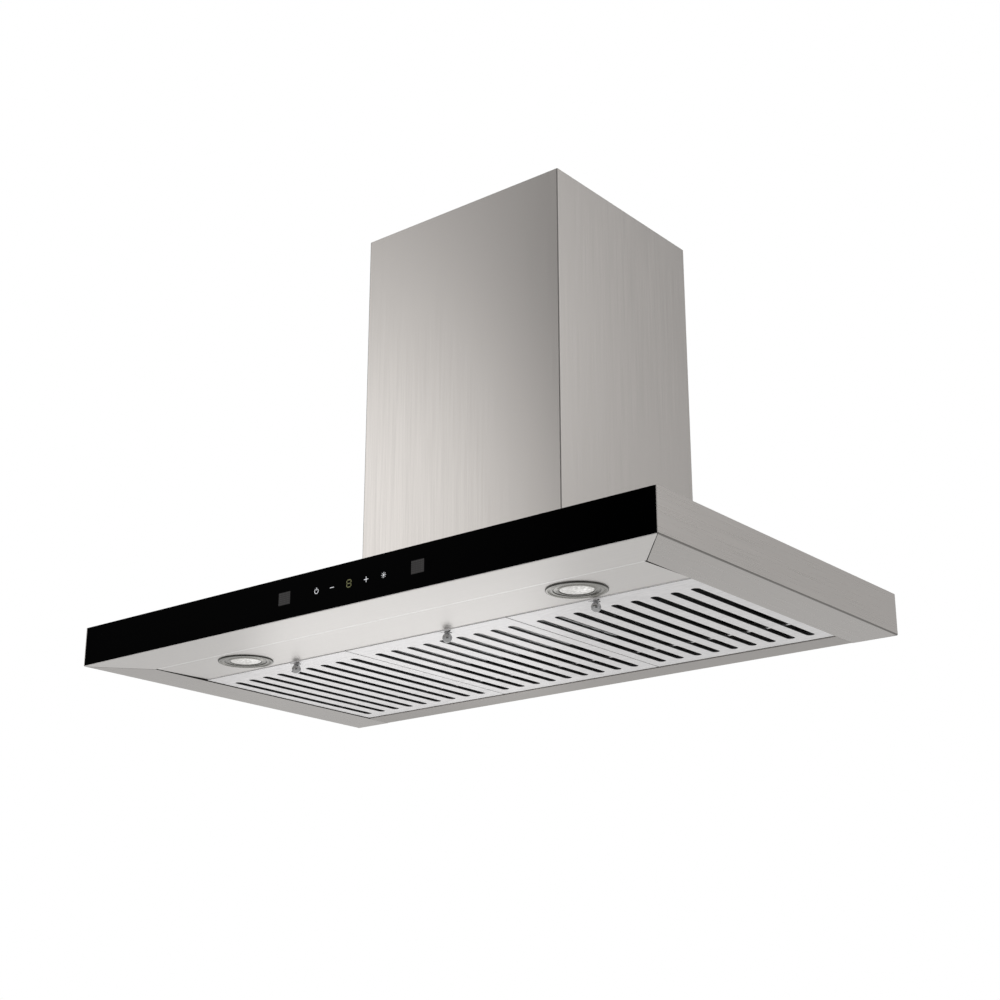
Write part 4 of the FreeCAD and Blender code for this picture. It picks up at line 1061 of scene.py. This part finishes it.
# %% [markdown]
# ### The three filters and their knobs
#
# The three trays are alike but for the place of the knob, so one function builds them
# from each filter's own box. The outside of a tray's rim is as bright as its face. Each
# knob is a turned ball on a short neck that rides with its latch, not with the filter.


# %% Build the three filters
TAB_SPREAD = 0.080        # each rear tab from the filter's middle


def filter_tray(number):
    """One slotted tray with its tabs and the rib that carries the latch spring."""
    low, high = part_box(f"filter_tray_{number}")
    knob_low, knob_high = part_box(f"filter_knob_{number}")
    _, spring_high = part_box(f"latch_spring_{number}")
    knob_x = (knob_low.x + knob_high.x) / 2
    knob_y = (knob_low.y + knob_high.y) / 2
    rear = high.y - TAB_LENGTH
    face = low.z
    middle_x = (low.x + high.x) / 2
    bm = bmesh.new()
    corners = [bm.verts.new((x, y, face)) for x, y in
               ((low.x, low.y), (high.x, low.y), (high.x, rear), (low.x, rear))]
    base = bm.faces.new(corners)
    pull(bm, list(base.edges), (0, 0, RIM_HEIGHT))
    round_edges(bm, bends(bm), SMALL_BEND, segments=3)
    base = max(bm.faces, key=lambda item: item.calc_area())
    outline = list(base.edges)
    bmesh.ops.delete(bm, geom=[base], context="FACES_ONLY")
    for step in range(SLOT_COUNT):
        x = middle_x + (step - (SLOT_COUNT - 1) / 2) * SLOT_PITCH
        edges, ends = stadium(bm, x, low.y + SLOT_FRONT_LAND, rear - SLOT_REAR_LAND,
                              SLOT_RADIUS, face + LIP_RISE)
        previous = 1.0
        for growth, rise in LIP_RINGS:
            edges, ends = grow(bm, edges, ends, growth / previous, face + rise)
            previous = growth
        outline += edges
    stem_edges, _ = stadium(bm, knob_x, knob_y - 0.0026, knob_y + 0.0076, 0.0026, face)
    outline += stem_edges
    for side in (-1, 1):
        ear = Vector((knob_x + side * EAR_SPACING / 2, low.y + EAR_SETBACK, face))
        ear_edges, ear_ends = stadium(bm, ear.x, ear.y - EAR_LENGTH / 2, ear.y + EAR_LENGTH / 2,
                                      EAR_WIDTH / 2, face, 8)
        bmesh.ops.rotate(bm, verts=ear_ends[0][0] + ear_ends[1][0], cent=ear,
                         matrix=Matrix.Rotation(side * EAR_TURN, 3, "Z"))
        outline += ear_edges
    bmesh.ops.triangle_fill(bm, use_beauty=True, use_dissolve=False, edges=outline)
    bmesh.ops.remove_doubles(bm, verts=bm.verts, dist=1e-6)
    turn_outward(bm, (middle_x, (low.y + rear) / 2, face + 0.05))
    thicken(bm, FILTER_SHEET)
    for side in (-1, 1):
        tab_x = middle_x + side * TAB_SPREAD
        block(bm, (tab_x - 0.010, rear - 0.0012, face + 0.0003),
              (tab_x + 0.010, high.y, face + 0.0011))
    block(bm, (knob_x - 0.005, spring_high.y + 0.00005, face + 0.0007),
          (knob_x + 0.005, spring_high.y + 0.00125, face + 0.0073))
    return bm


KNOB_RADIUS = 0.006
for number in (1, 2, 3):
    body = f"filter_{number}"
    tray_low, tray_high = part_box(f"filter_tray_{number}")

    def is_outer_rim(polygon):
        """The outside of the tray's rim, bright as its face."""
        place = polygon.center
        return is_upright(polygon) and min(place.x - tray_low.x, tray_high.x - place.x,
                                           place.y - tray_low.y) < 0.0002

    finish_piece(filter_tray(number), f"grease_filter_{number}", tray_steel, body,
                 "filter_steel", f"filter_tray_{number}", others=[(filter_steel, is_outer_rim)])
    knob_low, knob_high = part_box(f"filter_knob_{number}")
    top = knob_high.z - knob_low.z - KNOB_RADIUS       # latch plate above the ball's centre
    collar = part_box(f"filter_tray_{number}")[0].z - knob_low.z - KNOB_RADIUS
    ball = [(KNOB_RADIUS * math.sin(math.radians(a)), -KNOB_RADIUS * math.cos(math.radians(a)))
            for a in range(0, 150, 6)]
    neck = [(0.0031, collar - 0.0019), (0.0038, collar - 0.0016), (0.0038, collar - 0.0005),
            (0.0022, collar - 0.0004), (0.0022, top), (0.0, top)]
    middle = Vector(((knob_low.x + knob_high.x) / 2, (knob_low.y + knob_high.y) / 2,
                     knob_low.z + KNOB_RADIUS))
    finish_piece(turned(ball + neck, steps=40, place=Matrix.Translation(middle)),
                 f"ball_knob_{number}", chrome, f"latch_{number}", "chrome",
                 f"filter_knob_{number}")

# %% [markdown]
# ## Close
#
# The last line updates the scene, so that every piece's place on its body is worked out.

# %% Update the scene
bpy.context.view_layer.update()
